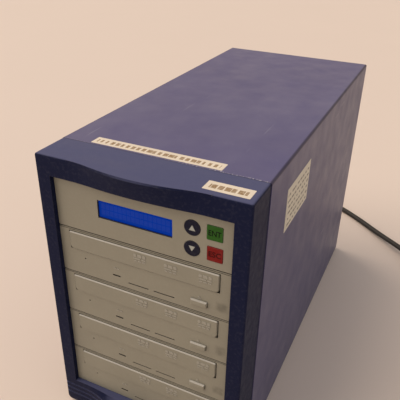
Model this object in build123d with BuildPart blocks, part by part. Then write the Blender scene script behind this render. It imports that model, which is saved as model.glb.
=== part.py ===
from build123d import *
from math import cos, pi, radians, sin, sqrt, tan
import os

# Disc duplicator tower: a steel case with a moulded front bezel, a control panel and four
# tray-loading disc drives.  Millimetres; X to the right, -Y towards the user, +Z up.
# The origin is on the table, under the middle of the case.

# ------------------------------------------------------------------ layout
slip = 0.3                  # clearance of pieces that slide past each other
bay_pitch = 42.5            # one half-height bay
drive_count = 4
drive_face_w = 148.6
supply_w = 150.0
supply_h = 86.0
supply_d = 140.0
case_side = 12.5            # from the power supply's side to the cover's outside
lower_beam = 30.0           # cover's lower edge to the opening
upper_beam = 16.7           # opening to the cover's top
opening_spare = 1.5         # left above the control panel's bay
opening_width = drive_face_w + 2 * slip
opening_height = (drive_count + 1) * bay_pitch + opening_spare
case_width = supply_w + 2 * case_side
cover_height = lower_beam + opening_height + upper_beam

# ------------------------------------------------------------------ case
cover_depth = 351.4         # cover, front seam to back edge
cover_bend = 2.0            # outside radius of the cover's folds
cover_lip = 12.0            # inward fold along the cover's lower and rear edges
sheet = 1.0                 # steel sheet of the case
floor_gap = 2.0             # cover's lower edge above the table
screw_proud = 1.8           # height of a pan head
screw_head_r = 3.0
screw_r = 1.5
screw_length = 5.0
screw_taper = 20.0          # degrees, side of a pan head
screw_shares = (0.15, 0.5, 0.85)  # heights of the cover's screws, as shares of its height
base_flange = 10.0          # upturned sides of the chassis base
panel_flange = 12.0         # forward folds at the rear panel's sides
grille_rings = (33.0, 25.5, 18.0, 10.5)  # inner radii of the rear grille's slots
grille_slot = 4.5
grille_spoke = 4.0

# ------------------------------------------------------------------ front bezel
bezel_inset = 0.5           # bezel's sides inside the cover's
bezel_width = case_width - 2 * bezel_inset
bezel_depth = 34.0          # seam to the front of the stiles
bezel_wall = 2.5
bezel_floor_gap = 3.0       # bezel's lower edge above the table
bezel_low_corner = 4.5
bezel_top_corner = 2.0
bezel_edge = 1.6            # rounding of the stiles' front edges
edge_reach = 3.0            # swell of both beams at the opening
brow_reach = 7.2            # swell of the upper beam at its top edge
brow_half = 58.0
brow_round = 1.2
lip_reach = 12.0            # swell of the lower beam
lip_half = 66.0
lip_slope = 5.0             # height in which the lower beam reaches its full swell
swell_share = 0.35          # share of a swell taken by its hollow arc
groove_drops = (6.5, 12.2, 17.9)  # grooves of the lower beam, below the opening
groove_height = 1.7
groove_depth = 1.6
rib_t = 1.6                 # ribs inside the bezel's stiles
rib_heights = (40.0, 95.0, 150.0, 205.0)

# ------------------------------------------------------------------ bays and drives
face_recess = 4.0           # drive faces behind the stiles
drive_width = 146.0
drive_height = 41.3
drive_depth = 165.0
drive_sheet = 0.8
drive_face_h = 41.9
drive_face_t = 4.0
face_corner = 0.8
face_line_drop = 1.3        # fine line across a drive's face, below the bay's top
face_line_h = 0.5
door_w = 129.5
door_h = 15.8
door_mid = 31.5             # door's middle above the bay's floor
door_proud = 1.2
door_gap = 0.5
door_t = 5.0
door_low_corner = 3.2
door_top_corner = 1.0
door_chamfer = 0.7
eject_at = (49.1, 9.0)      # from the middle of the face and the bay's floor
eject_w = 13.4
eject_h = 5.0
eject_travel = 1.0
eject_proud = eject_travel + 1.0  # pressed home, the button still stands proud
eject_round = 1.2
eject_tail = 1.2            # end of the button behind the face plate
eject_flange = 0.8          # reach of its retaining flange on each side
eject_flange_t = 1.0
led_at = (-22.8, 9.2)
led_w = 7.0
led_h = 1.3
led_sunk = 0.9
pinhole_at = (-51.8, 16.3)
pinhole_r = 0.6
vent_at = ((-3.2, 5.7), (19.4, 5.7))
vent_w = 18.0
vent_h = 0.8
vent_depth = 1.2
button_slip = 0.15

# tray: heights above the bay's floor
tray_travel = 140.0
tray_hold = 18.0            # length that stays in the rails when the tray is out
tray_w = 125.0
tray_length = tray_travel + tray_hold
tray_corner = 2.5
tray_low = 25.0
tray_top = 34.5
tray_wall = 2.0
tray_skin = 1.5             # plate left under the small well
disc_r = 60.5               # well of a 120 mm disc
small_disc_r = 40.5         # well of an 80 mm disc
well_depth = 1.8
small_well_depth = 1.5
disc_back = 66.0            # disc centre behind the tray's front
tray_slot = 36.0            # window over the turntable and the lens
tray_slot_length = 58.0
runner_low = 27.0
runner_high = 29.0
runner_reach = 2.1
runner_start = 20.0         # behind the tray's front
finger_cut_r = 7.0          # cut-outs for lifting the disc
finger_cut_share = 0.72     # their place, as a share of the well's radius

# loader frame inside a drive, heights above the bay's floor
rail_width = 7.2
rail_top = 34.0
loader_t = 2.0
loader_back = 6.0           # behind the drive's face plate
loader_length = 152.0
motor_r = 14.0
motor_top = 17.6
turntable_r = 13.0
turntable_t = 2.0
hub_r = 7.3
hub_height = 4.4
shaft_r = 1.5
shaft_length = 10.0
bore_clearance = 0.05
lens_rod_r = 1.5
lens_rod_x = 26.0
lens_rod_length = 72.0
lens_rod_z = 15.0
lens_post = (6.0, 4.0)
lens_post_top = 18.0
carriage_reach = 4.0        # beyond the rods
carriage_length = 24.0
carriage_t = 7.0
carriage_back = 34.0        # its middle, behind the disc centre
lens_r = 4.0
lens_rise = 3.0
lens_back = 28.0            # behind the disc centre

# flat data cables behind the drives
cable_w = 14.0
cable_t = 1.6
cable_bend = 5.0
cable_socket = (16.0, 8.0, 8.0)
cable_socket_z = 14.0       # above the bay's floor
cable_first_x = -38.0
cable_step_x = 22.0
cable_first_run = 23.0      # depth of the first cable's climb behind the drives
cable_step_run = 7.0
cable_step_z = 3.0          # from one cable to the next, over the board
cable_arch = 13.0           # lowest cable above the board

# ------------------------------------------------------------------ control panel
panel_w = drive_face_w
panel_h = 41.6
panel_t = 2.0
display_x = (-36.0, 27.0)
display_z = (16.3, 31.5)    # above the bay's floor
display_frame = (71.3, 26.8)
display_board = (80.0, 36.0)
display_frame_t = 5.8
display_gap = 0.1           # display frame behind the panel
display_edge = 0.2          # window's edge round the glass
display_glass_t = 1.0
round_key_r = 6.25
round_key_x = 42.6
round_key_z = (29.6, 12.5)  # up, down
square_key = (11.9, 11.7)
square_key_at = ((59.7, 29.6), (60.2, 12.5))  # enter, escape
square_key_corner = 0.6
key_chamfer = 0.25
key_gap = 0.2
key_proud = 0.4
key_travel = 0.6
key_stem_r = 1.7
key_flange = 1.0
key_flange_reach = 0.8
key_board_back = 12.0       # front of the key board behind the panel's face
key_board_h = 37.0
board_t = 1.6
bracket_depth = 110.0
main_board_size = (130.0, 90.0)
main_board_z = 8.2          # its middle above the bay's floor
main_board_gap = 1.5        # from the key board
switch_size = 6.2
switch_t = 3.5
spacer_r = 2.0
spacer_inset = 3.0
chip_size = (28.0, 28.0, 3.2)
chip_at = ((20.0, 40.0), (-25.0, 55.0))  # from the middle and from the key board
header_size = (40.0, 6.0, 6.0)
boss_r = 2.5
boss_inset = (7.0, 6.0)

# ------------------------------------------------------------------ drive cage
cage_depth = 150.0
cage_top = 14.0             # cage's top above the bays
cage_foot = 9.0
cage_slot = (16.0, 4.0)
cage_slot_shares = (0.2, 0.55)  # along the cage

# ------------------------------------------------------------------ rear and power supply
supply_cutout = (supply_w - 19.0, supply_h - 8.0)
supply_screw = (supply_w - 12.0, supply_h - 12.0)
fan_size = 80.0
fan_depth = 25.0
fan_bore_r = 37.8
fan_holes = 71.5
fan_hole_r = 2.1
fan_hub_r = 17.5
fan_blade_r = 36.8
fan_blades = 7
fan_motor_r = 16.5
fan_corner = 4.0
fan_base_t = 3.0            # motor plate and its struts
fan_strut = 3.5
fan_bearing_r = 5.0
fan_bearing_length = 12.0
fan_hub_wall = 1.6
fan_hub_sunk = 1.0          # hub's front inside the frame
fan_blade_t = 1.4
fan_blade_pitch = (40.0, 58.0)  # degrees, at the root and at the tip
guard_rings = (36.0, 28.0, 20.0, 12.0)
guard_wire = 1.6
supply_fan_x = 26.0
case_fan_z = 176.0
inlet_x = -47.0
inlet_z = 30.0
inlet_flange = (30.0, 23.0)
inlet_cavity = (24.8, 17.2)
inlet_depth = 16.0
inlet_wall = 1.3
inlet_face_t = 2.0
inlet_back = 4.0            # solid behind the cavity
inlet_pin = (2.0, 4.0)
inlet_pin_length = 13.0
inlet_pins = ((-7.0, -1.5), (7.0, -1.5), (0.0, 2.5))
cutout_gap = 0.1
rocker_z = 64.0
rocker_w = 10.4
rocker_r = 8.2
rocker_tilt = 8.0           # degrees each side of level
rocker_land = 1.8           # lands' height over the pin
rocker_pin_r = 1.0
rocker_pin_reach = 0.6
switch_wall = 1.1
switch_rim = 3.0
switch_face_t = 1.5
switch_depth = 13.0
switch_floor = 2.0

# power supply's board
supply_board_gap = 4.5      # round the board, inside the case and before the fan
supply_board_z = 7.0        # its middle above the case's floor
supply_post_r = 3.0
supply_post_inset = (9.0, 8.0)
transformer_size = (36.0, 32.0, 28.6)
heat_sink_t = 4.0
heat_sink_h = 45.0
heat_sink_end = 12.0        # board left beyond each end
heat_sink_x = 34.0
capacitor_r = 11.0
capacitor_h = 35.0
capacitor_at = ((-54.0, -20.0), (-54.0, 12.0))
supply_vent = (16.0, 4.0)
supply_vent_pitch = (12.0, 24.0)
supply_vent_count = (9, 3)

# ------------------------------------------------------------------ feet
foot_r = 9.0
foot_x = 60.0
foot_inset = 28.0           # from the seam and from the back edge
foot_taper = 8.0

# ------------------------------------------------------------------ mains lead
cord_d = 7.0
turn_gap = 0.8              # between neighbouring turns of the coil
coil_inner_r = 31.5
coil_turns = 2.494          # in each layer
coil_start_angle = 225.0    # where the lead meets the coil, degrees
coil_entry = (212.0, 181.0)
coil_last_rise = 4 * cord_d  # length in which the lead climbs into its plug
cord_start_run = 26.0       # straight out of the connector
cord_end_run = 46.0         # straight into the coil
nose_size = (24.4, 16.8)
nose_slip_depth = 15.0
nose_corner = 1.3
grip_length = 24.0
grip_reach = 1.5            # grip's flare beyond the nose on each side
grip_waist = (14.0, 12.0)
grip_corner = 2.5
relief_length = 27.0
relief_r = 5.6
relief_core_r = 4.3         # at the bottom of its cut rings
relief_taper = 3.2
relief_rings = 4
relief_step = 5.0
relief_cut = 1.6
plug_size = (26.0, 20.0)
plug_waist = (15.0, 13.0)
plug_corner = 4.0
plug_waist_corner = 3.0
plug_flare = 12.0
plug_length = 34.0
blade_size = (1.5, 6.3)
blade_places = ((-6.35, 3.0), (6.35, 3.0))
blade_length = 17.0
earth_pin_r = 2.4
earth_pin_place = (0.0, -6.0)

# ------------------------------------------------------------------ worked-out places
cover_top = floor_gap + cover_height
opening_floor = floor_gap + lower_beam
opening_top = opening_floor + opening_height
total_depth = lip_reach + bezel_depth + cover_depth + screw_proud
stile_y = -total_depth / 2 + lip_reach
face_y = stile_y + face_recess
seam_y = stile_y + bezel_depth
back_y = seam_y + cover_depth
base_z = floor_gap + sheet                  # underside of the chassis base
deck_z = base_z + sheet                     # top of the chassis base
inner_half = case_width / 2 - sheet - slip  # half width of what slides into the cover
rear_y = back_y - sheet                     # outer face of the rear panel
supply_y = rear_y - sheet                   # rear of the power supply, against the panel
supply_z = deck_z + supply_h / 2
drive_y = face_y + drive_face_t             # front edge of the drives' housings
drive_back = drive_y + drive_depth
tray_front = face_y - door_proud + door_t
loader_low = (bay_pitch - drive_height) / 2 + drive_sheet
control_floor = opening_floor + drive_count * bay_pitch
panel_back = face_y + panel_t
key_board_y = face_y + key_board_back
main_board_y = key_board_y + board_t + main_board_gap + main_board_size[1] / 2
board_top = control_floor + main_board_z + board_t / 2
display_front = panel_back + display_gap
inlet_face = supply_y + inlet_face_t
turn_pitch = cord_d + turn_gap


def bay_floor(number):
    """Floor of a drive bay; the first drive is the topmost one."""
    return opening_floor + (drive_count - number) * bay_pitch


def front(y):
    """Sketch plane facing the user at depth y: X to the right, Z up."""
    return Plane.XZ.offset(-y)


def level(z):
    return Plane.XY.offset(z)


def side(x):
    """Sketch plane facing +X: its first axis runs to the back, its second up."""
    return Plane.YZ.offset(x)


def save(part, name):
    part.label = name
    export_step(part, f"parts/{name}.step")


# ------------------------------------------------------------------ case pieces

def make_outer_cover():
    with BuildPart() as cover:
        with BuildSketch(front(seam_y)) as section:
            with Locations((0, floor_gap + cover_height / 2)):
                Rectangle(case_width, cover_height)
            fillet(section.vertices().group_by(Axis.Y)[-1], cover_bend)
            with Locations((0, floor_gap + cover_height / 2)):
                Rectangle(case_width - 2 * sheet, cover_height - 2 * sheet, mode=Mode.SUBTRACT)
            with Locations((0, floor_gap)):
                Rectangle(case_width - 2 * cover_lip, 4 * sheet, mode=Mode.SUBTRACT)
        extrude(amount=-cover_depth)
        with BuildSketch(front(rear_y)):
            with Locations((0, floor_gap + cover_height / 2)):
                Rectangle(case_width - sheet, cover_height - sheet)
                Rectangle(case_width - 2 * cover_lip, cover_height - 2 * cover_lip, mode=Mode.SUBTRACT)
            with Locations((0, floor_gap)):
                Rectangle(case_width - 2 * cover_lip, 3 * cover_lip, mode=Mode.SUBTRACT)
            with Locations(*cover_screw_places()):
                Circle(screw_r + slip, mode=Mode.SUBTRACT)
        extrude(amount=-sheet)
    return cover.part


def cover_screw_places():
    x = case_width / 2 - cover_lip / 2 - sheet / 2
    return [(s * x, floor_gap + share * cover_height) for s in (-1, 1) for share in screw_shares]


def make_chassis_base():
    length = rear_y - seam_y
    with BuildPart() as base:
        with BuildSketch(front(seam_y)):
            with Locations((0, base_z + sheet / 2)):
                Rectangle(2 * inner_half, sheet)
            with Locations(*[(s * (inner_half - sheet / 2), base_z + base_flange / 2)
                             for s in (-1, 1)]):
                Rectangle(sheet, base_flange)
        extrude(amount=-length)
    return base.part


def make_front_frame():
    """Steel sheet behind the bezel, with the opening that the drives pass through."""
    height = cover_top - sheet - slip - deck_z
    with BuildPart() as frame:
        with BuildSketch(front(seam_y)):
            with Locations((0, deck_z + height / 2)):
                Rectangle(2 * (inner_half - sheet), height)
            with Locations((0, (opening_floor + opening_top) / 2)):
                Rectangle(drive_width + 2 * (slip + sheet), opening_height, mode=Mode.SUBTRACT)
        extrude(amount=-sheet)
    return frame.part


def make_rear_panel():
    height = cover_top - sheet - slip - deck_z
    half = inner_half - sheet
    with BuildPart() as panel:
        with BuildSketch(front(supply_y)):
            with Locations((0, deck_z + height / 2)):
                Rectangle(2 * half, height)
            with Locations((0, supply_z)):
                Rectangle(*supply_cutout, mode=Mode.SUBTRACT)
                with GridLocations(*supply_screw, 2, 2):
                    Circle(screw_r + bore_clearance, mode=Mode.SUBTRACT)
            with Locations(*cover_screw_places()):
                Circle(screw_r + bore_clearance, mode=Mode.SUBTRACT)
            with Locations((0, case_fan_z)):
                with GridLocations(fan_holes, fan_holes, 2, 2):
                    Circle(fan_hole_r, mode=Mode.SUBTRACT)
        extrude(amount=-sheet)
        with BuildSketch(front(supply_y)):
            with Locations((0, case_fan_z)):
                for ring in grille_rings:
                    Circle(ring + grille_slot)
                    Circle(ring, mode=Mode.SUBTRACT)
                with PolarLocations(0, 3):
                    Rectangle(2 * fan_size, grille_spoke, mode=Mode.SUBTRACT)
        extrude(amount=-sheet, mode=Mode.SUBTRACT)
        with Locations(*[(s * (half - sheet / 2), supply_y - panel_flange / 2, deck_z + height / 2)
                         for s in (-1, 1)]):
            Box(sheet, panel_flange, height)
    return panel.part


def make_feet():
    """Four stick-on rubber feet."""
    with BuildPart() as feet:
        with BuildSketch(level(0)):
            with Locations(*foot_places()):
                Circle(foot_r)
        extrude(amount=base_z, taper=foot_taper)
    return feet.part


def foot_places():
    return [(s * foot_x, y) for s in (-1, 1) for y in (seam_y + foot_inset, back_y - foot_inset)]


def make_screws():
    """Pan-head screws of the rear: cover, power supply and fan."""
    places = [(x, rear_y + sheet, z) for x, z in cover_screw_places()]
    places += [(s * supply_screw[0] / 2, rear_y, supply_z + t * supply_screw[1] / 2)
               for s in (-1, 1) for t in (-1, 1)]
    places += [(x + s * fan_holes / 2, rear_y, z + t * fan_holes / 2)
               for x, z in ((0, case_fan_z), (supply_fan_x, supply_z))
               for s in (-1, 1) for t in (-1, 1)]
    with BuildPart() as screws:
        for x, y, z in places:
            with BuildSketch(front(y)):
                with Locations((x, z)):
                    Circle(screw_head_r)
            extrude(amount=-screw_proud, taper=screw_taper)
            with BuildSketch(front(y)):
                with Locations((x, z)):
                    Circle(screw_r)
            extrude(amount=screw_length)
    return screws.part


# ------------------------------------------------------------------ front bezel

def swell(z, reach, half, back):
    """Plan of a swelling beam at height z: a hollow arc, then the crown, mirrored."""
    with BuildSketch(level(z)) as plan:
        with BuildLine():
            hollow = TangentArc((-half, stile_y),
                                (-half * (1 - swell_share), stile_y - reach * swell_share),
                                tangent=(1, 0))
            crown = TangentArc(hollow @ 1, (0, stile_y - reach), tangent=hollow % 1)
            Line((-half, stile_y), (-half, back))
            Line((-half, back), (0, back))
            mirror(about=Plane.YZ)
        make_face()
    return plan.sketch


def make_front_bezel():
    height = cover_top - bezel_floor_gap
    beam_back = stile_y + bezel_wall
    lip_z = opening_floor - lip_slope
    with BuildPart() as bezel:
        with BuildSketch(front(seam_y)) as outline:
            with Locations((0, bezel_floor_gap + height / 2)):
                Rectangle(bezel_width, height)
            fillet(outline.vertices().group_by(Axis.Y)[0], bezel_low_corner)
            fillet(outline.vertices().group_by(Axis.Y)[-1], bezel_top_corner)
        extrude(amount=bezel_depth)
        fillet(bezel.faces().sort_by(Axis.Y)[0].edges(), bezel_edge)
        loft([swell(opening_top, edge_reach, brow_half, beam_back),
              swell(cover_top - brow_round, brow_reach, brow_half, beam_back)], ruled=True)
        loft([swell(cover_top - brow_round, brow_reach, brow_half, beam_back),
              swell(cover_top, brow_reach - brow_round, brow_half, beam_back)], ruled=True)
        loft([swell(lip_z, lip_reach, lip_half, beam_back),
              swell(opening_floor, edge_reach, lip_half, beam_back)], ruled=True)
        with BuildSketch(level(bezel_floor_gap)):
            add(swell(bezel_floor_gap, lip_reach, lip_half, beam_back).moved(
                Location((0, 0, -bezel_floor_gap))))
        extrude(amount=lip_z - bezel_floor_gap)
        # opening for the drives, then the hollow behind the beams and stiles
        with BuildSketch(front(seam_y)):
            with Locations((0, (opening_floor + opening_top) / 2)):
                Rectangle(opening_width, opening_height)
        extrude(amount=bezel_depth + lip_reach, mode=Mode.SUBTRACT)
        with BuildSketch(front(seam_y)):
            with Locations((0, bezel_floor_gap + height / 2)):
                RectangleRounded(bezel_width - 2 * bezel_wall, height - 2 * bezel_wall, bezel_wall)
            with Locations((0, (opening_floor + opening_top) / 2)):
                Rectangle(opening_width + 2 * bezel_wall, opening_height + 2 * bezel_wall,
                          mode=Mode.SUBTRACT)
            with Locations(*[(0, z) for z in rib_heights]):
                Rectangle(bezel_width, rib_t, mode=Mode.SUBTRACT)
        extrude(amount=bezel_depth - bezel_wall, mode=Mode.SUBTRACT)
        # three grooves that follow the lower beam
        for drop in groove_drops:
            z = opening_floor - drop - groove_height / 2
            with BuildSketch(level(z)):
                with Locations((0, stile_y - lip_reach)):
                    Rectangle(bezel_width + 2, 2 * lip_reach + 2 * groove_depth)
                add(swell(z, lip_reach, lip_half, stile_y + lip_reach * 3).moved(
                    Location((0, groove_depth, -z))), mode=Mode.SUBTRACT)
            extrude(amount=groove_height, mode=Mode.SUBTRACT)
    return bezel.part


# ------------------------------------------------------------------ drive cage

def make_drive_cage():
    inside = drive_width / 2 + slip
    top = control_floor + bay_pitch + cage_top
    with BuildPart() as cage:
        with BuildSketch(front(seam_y + sheet)):
            with Locations((0, (deck_z + top) / 2)):
                Rectangle(2 * (inside + sheet), top - deck_z)
                Rectangle(2 * inside, top - deck_z, mode=Mode.SUBTRACT)
            with Locations((0, top - sheet / 2)):
                Rectangle(2 * (inside + sheet), sheet)
            with Locations((inside + cage_foot / 2, deck_z + sheet / 2),
                           (-inside - cage_foot / 2, deck_z + sheet / 2)):
                Rectangle(cage_foot, sheet)
        extrude(amount=-cage_depth)
        with BuildSketch(side(0)):
            with Locations(*[(seam_y + share * cage_depth, opening_floor + (bay + 0.25) * bay_pitch)
                             for bay in range(drive_count + 1) for share in cage_slot_shares]):
                SlotOverall(*cage_slot)
        extrude(amount=case_width / 2, both=True, mode=Mode.SUBTRACT)
    return cage.part


# ------------------------------------------------------------------ disc drives

def make_drive_housing(number):
    floor = bay_floor(number)
    low = floor + (bay_pitch - drive_height) / 2
    inner = drive_height - 2 * drive_sheet
    with BuildPart() as housing:
        with Locations((0, drive_y + drive_depth / 2, low + drive_height / 2)):
            Box(drive_width, drive_depth, drive_height)
        with Locations((0, drive_y + (drive_depth - drive_sheet) / 2, low + drive_height / 2)):
            Box(drive_width - 2 * drive_sheet, drive_depth - drive_sheet, inner, mode=Mode.SUBTRACT)
    return housing.part


def make_drive_bezel(number):
    floor = bay_floor(number)
    with BuildPart() as bezel:
        with BuildSketch(front(drive_y)):
            with Locations((0, floor + bay_pitch / 2)):
                RectangleRounded(drive_face_w, drive_face_h, face_corner)
            with Locations((0, floor + door_mid)):
                Rectangle(door_w + 2 * door_gap, door_h + 2 * door_gap, mode=Mode.SUBTRACT)
            with Locations((eject_at[0], floor + eject_at[1])):
                Rectangle(eject_w + 2 * button_slip, eject_h + 2 * button_slip, mode=Mode.SUBTRACT)
            with Locations((led_at[0], floor + led_at[1])):
                Rectangle(led_w, led_h, mode=Mode.SUBTRACT)
            with Locations((pinhole_at[0], floor + pinhole_at[1])):
                Circle(pinhole_r, mode=Mode.SUBTRACT)
        extrude(amount=drive_face_t)
        with BuildSketch(front(face_y)):
            with Locations(*[(x, floor + z) for x, z in vent_at]):
                Rectangle(vent_w, vent_h)
            with Locations((0, floor + bay_pitch - face_line_drop)):
                Rectangle(drive_face_w, face_line_h)
        extrude(amount=-vent_depth, mode=Mode.SUBTRACT)
    return bezel.part


def make_tray(number):
    floor = bay_floor(number)
    mid_y = tray_front + tray_length / 2
    skin_z = floor + tray_top - well_depth - small_well_depth - tray_skin
    with BuildPart() as tray:
        with BuildSketch(level(floor + tray_low)):
            with Locations((0, mid_y)):
                RectangleRounded(tray_w, tray_length, tray_corner)
        extrude(amount=tray_top - tray_low)
        with BuildSketch(level(floor + tray_low)):
            with Locations((0, mid_y)):
                Rectangle(tray_w - 2 * tray_wall, tray_length - 2 * tray_wall)
        extrude(amount=skin_z - floor - tray_low, mode=Mode.SUBTRACT)
        for radius, depth in ((disc_r, well_depth), (small_disc_r, well_depth + small_well_depth)):
            with BuildSketch(level(floor + tray_top)):
                with Locations((0, tray_front + disc_back)):
                    Circle(radius)
            extrude(amount=-depth, mode=Mode.SUBTRACT)
        with BuildSketch(level(floor + tray_top)):
            with Locations((0, tray_front + disc_back)):
                Circle(tray_slot / 2)
            with Locations((0, tray_front + disc_back + tray_slot_length / 2)):
                Rectangle(tray_slot, tray_slot_length)
            with Locations(*[(s * finger_cut_share * disc_r,
                              tray_front + disc_back - finger_cut_share * disc_r) for s in (-1, 1)]):
                Circle(finger_cut_r)
        extrude(amount=-(tray_top - tray_low), mode=Mode.SUBTRACT)
        with Locations(*[(s * (tray_w + runner_reach) / 2, mid_y + runner_start / 2,
                          floor + (runner_low + runner_high) / 2) for s in (-1, 1)]):
            Box(runner_reach, tray_length - runner_start, runner_high - runner_low)
    return tray.part


def make_tray_door(number):
    floor = bay_floor(number)
    with BuildPart() as door:
        with BuildSketch(front(tray_front)) as outline:
            with Locations((0, floor + door_mid)):
                Rectangle(door_w, door_h)
            fillet(outline.vertices().group_by(Axis.Y)[0], door_low_corner)
            fillet(outline.vertices().group_by(Axis.Y)[-1], door_top_corner)
        extrude(amount=door_t)
        chamfer(door.faces().sort_by(Axis.Y)[0].edges(), door_chamfer)
    return door.part


def make_eject_button(number):
    floor = bay_floor(number)
    with BuildPart() as button:
        with BuildSketch(front(face_y - eject_proud)):
            with Locations((eject_at[0], floor + eject_at[1])):
                Rectangle(eject_w, eject_h)
        extrude(amount=-(eject_proud + drive_face_t + eject_tail))
        fillet(button.faces().sort_by(Axis.Y)[0].edges(), eject_round)
        with BuildSketch(front(drive_y + eject_tail)):
            with Locations((eject_at[0], floor + eject_at[1])):
                Rectangle(eject_w + 2 * eject_flange, eject_h + 2 * eject_flange)
        extrude(amount=eject_flange_t)
    return button.part


def make_loader(number):
    """Loading frame: rails for the tray, the turntable's motor and the lens carriage."""
    floor = bay_floor(number)
    start = drive_y + loader_back
    mid_y = start + loader_length / 2
    rail_x = tray_w / 2 + slip + rail_width / 2
    hub_y = tray_front + disc_back
    with BuildPart() as loader:
        with Locations((0, mid_y, floor + loader_low + loader_t / 2)):
            Box(2 * rail_x + rail_width, loader_length, loader_t)
        with Locations(*[(s * rail_x, mid_y, floor + (loader_low + rail_top) / 2) for s in (-1, 1)]):
            Box(rail_width, loader_length, rail_top - loader_low)
        groove_x = tray_w / 2 + slip + runner_reach / 2 - 0.1
        with Locations(*[(s * groove_x, mid_y, floor + (runner_low + runner_high) / 2)
                         for s in (-1, 1)]):
            Box(runner_reach + 0.2, loader_length, runner_high - runner_low + 2 * slip,
                mode=Mode.SUBTRACT)
        with BuildSketch(level(floor + loader_low)):
            with Locations((0, hub_y)):
                Circle(motor_r)
        extrude(amount=motor_top - loader_low)
        with BuildSketch(level(floor + motor_top)):
            with Locations((0, hub_y)):
                Circle(shaft_r + bore_clearance)
        extrude(amount=-shaft_length, mode=Mode.SUBTRACT)
        # posts and rods of the lens carriage
        with Locations(*[(s * lens_rod_x, hub_y + e * lens_rod_length,
                          floor + (loader_low + lens_post_top) / 2)
                         for s in (-1, 1) for e in (0, 1)]):
            Box(*lens_post, lens_post_top - loader_low)
        with BuildSketch(front(hub_y)):
            with Locations((lens_rod_x, floor + lens_rod_z), (-lens_rod_x, floor + lens_rod_z)):
                Circle(lens_rod_r)
        extrude(amount=-lens_rod_length)
    with BuildPart() as carriage:
        with Locations((0, hub_y + carriage_back, floor + lens_rod_z)):
            Box(2 * (lens_rod_x + carriage_reach), carriage_length, carriage_t)
        with BuildSketch(level(floor + lens_rod_z + carriage_t / 2)):
            with Locations((0, hub_y + lens_back)):
                Circle(lens_r)
        extrude(amount=lens_rise)
        with BuildSketch(front(hub_y + carriage_back)):
            with Locations((lens_rod_x, floor + lens_rod_z), (-lens_rod_x, floor + lens_rod_z)):
                Circle(lens_rod_r + bore_clearance)
        extrude(amount=carriage_length / 2, both=True, mode=Mode.SUBTRACT)
    return Compound(children=[loader.part, carriage.part])


def make_turntable(number):
    floor = bay_floor(number)
    disc_z = motor_top + slip
    with BuildPart() as table:
        with BuildSketch(Plane(origin=(0, tray_front + disc_back, floor), x_dir=(1, 0, 0),
                               z_dir=(0, -1, 0))):
            with BuildLine():
                Polyline((0, motor_top - shaft_length + 1), (shaft_r, motor_top - shaft_length + 1),
                         (shaft_r, disc_z), (turntable_r, disc_z),
                         (turntable_r, disc_z + turntable_t), (hub_r, disc_z + turntable_t),
                         (hub_r - 1.2, disc_z + turntable_t + hub_height),
                         (0, disc_z + turntable_t + hub_height), close=True)
            make_face()
        revolve(axis=Axis((0, tray_front + disc_back, 0), (0, 0, 1)))
    return table.part


def make_drive_leds():
    """One light guide in each drive's face."""
    with BuildPart() as leds:
        for number in range(1, drive_count + 1):
            with Locations((led_at[0], face_y + (led_sunk + drive_face_t) / 2,
                            bay_floor(number) + led_at[1])):
                Box(led_w - 2 * button_slip, drive_face_t - led_sunk, led_h - 2 * button_slip)
    return leds.part


def make_drive_cables():
    """Flat data cables from the backs of the drives up to the controller board."""
    socket_w, socket_d, socket_h = cable_socket
    leave_y = drive_back + socket_d
    end_y = main_board_y + main_board_size[1] / 2 - 0.75 * socket_d
    with BuildPart() as cables:
        for number in range(1, drive_count + 1):
            x = cable_first_x + cable_step_x * (number - 1)
            low_z = bay_floor(number) + cable_socket_z
            run_y = drive_back + cable_first_run + cable_step_run * (number - 1)
            high_z = board_top + cable_arch + cable_step_z * (number - 1)
            with BuildLine(Plane(origin=(x, 0, 0), x_dir=(0, 1, 0), z_dir=(1, 0, 0))) as route:
                FilletPolyline((leave_y, low_z), (run_y, low_z), (run_y, high_z),
                               (end_y, high_z), (end_y, board_top + socket_h - sheet),
                               radius=cable_bend)
            with BuildSketch(front(leave_y)):
                with Locations((x, low_z)):
                    Rectangle(cable_w, cable_t)
            sweep(path=route.line)
            with Locations((x, drive_back + socket_d / 2, low_z), (x, end_y, board_top + socket_h / 2)):
                Box(*cable_socket)
    return cables.part


# ------------------------------------------------------------------ control panel

def key_places():
    """Middles of the round and of the square keys, above the bay's floor."""
    return [(round_key_x, z) for z in round_key_z], list(square_key_at)


def make_control_panel():
    rounds, squares = key_places()
    mid = ((display_x[0] + display_x[1]) / 2, control_floor + (display_z[0] + display_z[1]) / 2)
    with BuildPart() as panel:
        with BuildSketch(front(panel_back)):
            with Locations((0, control_floor + bay_pitch / 2)):
                RectangleRounded(panel_w, panel_h, face_corner)
            with Locations(mid):
                Rectangle(display_x[1] - display_x[0], display_z[1] - display_z[0], mode=Mode.SUBTRACT)
            with Locations(*[(x, control_floor + z) for x, z in rounds]):
                Circle(round_key_r + key_gap, mode=Mode.SUBTRACT)
            with Locations(*[(x, control_floor + z) for x, z in squares]):
                RectangleRounded(square_key[0] + 2 * key_gap, square_key[1] + 2 * key_gap,
                                 square_key_corner + key_gap, mode=Mode.SUBTRACT)
        extrude(amount=panel_t)
    return panel.part


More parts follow.
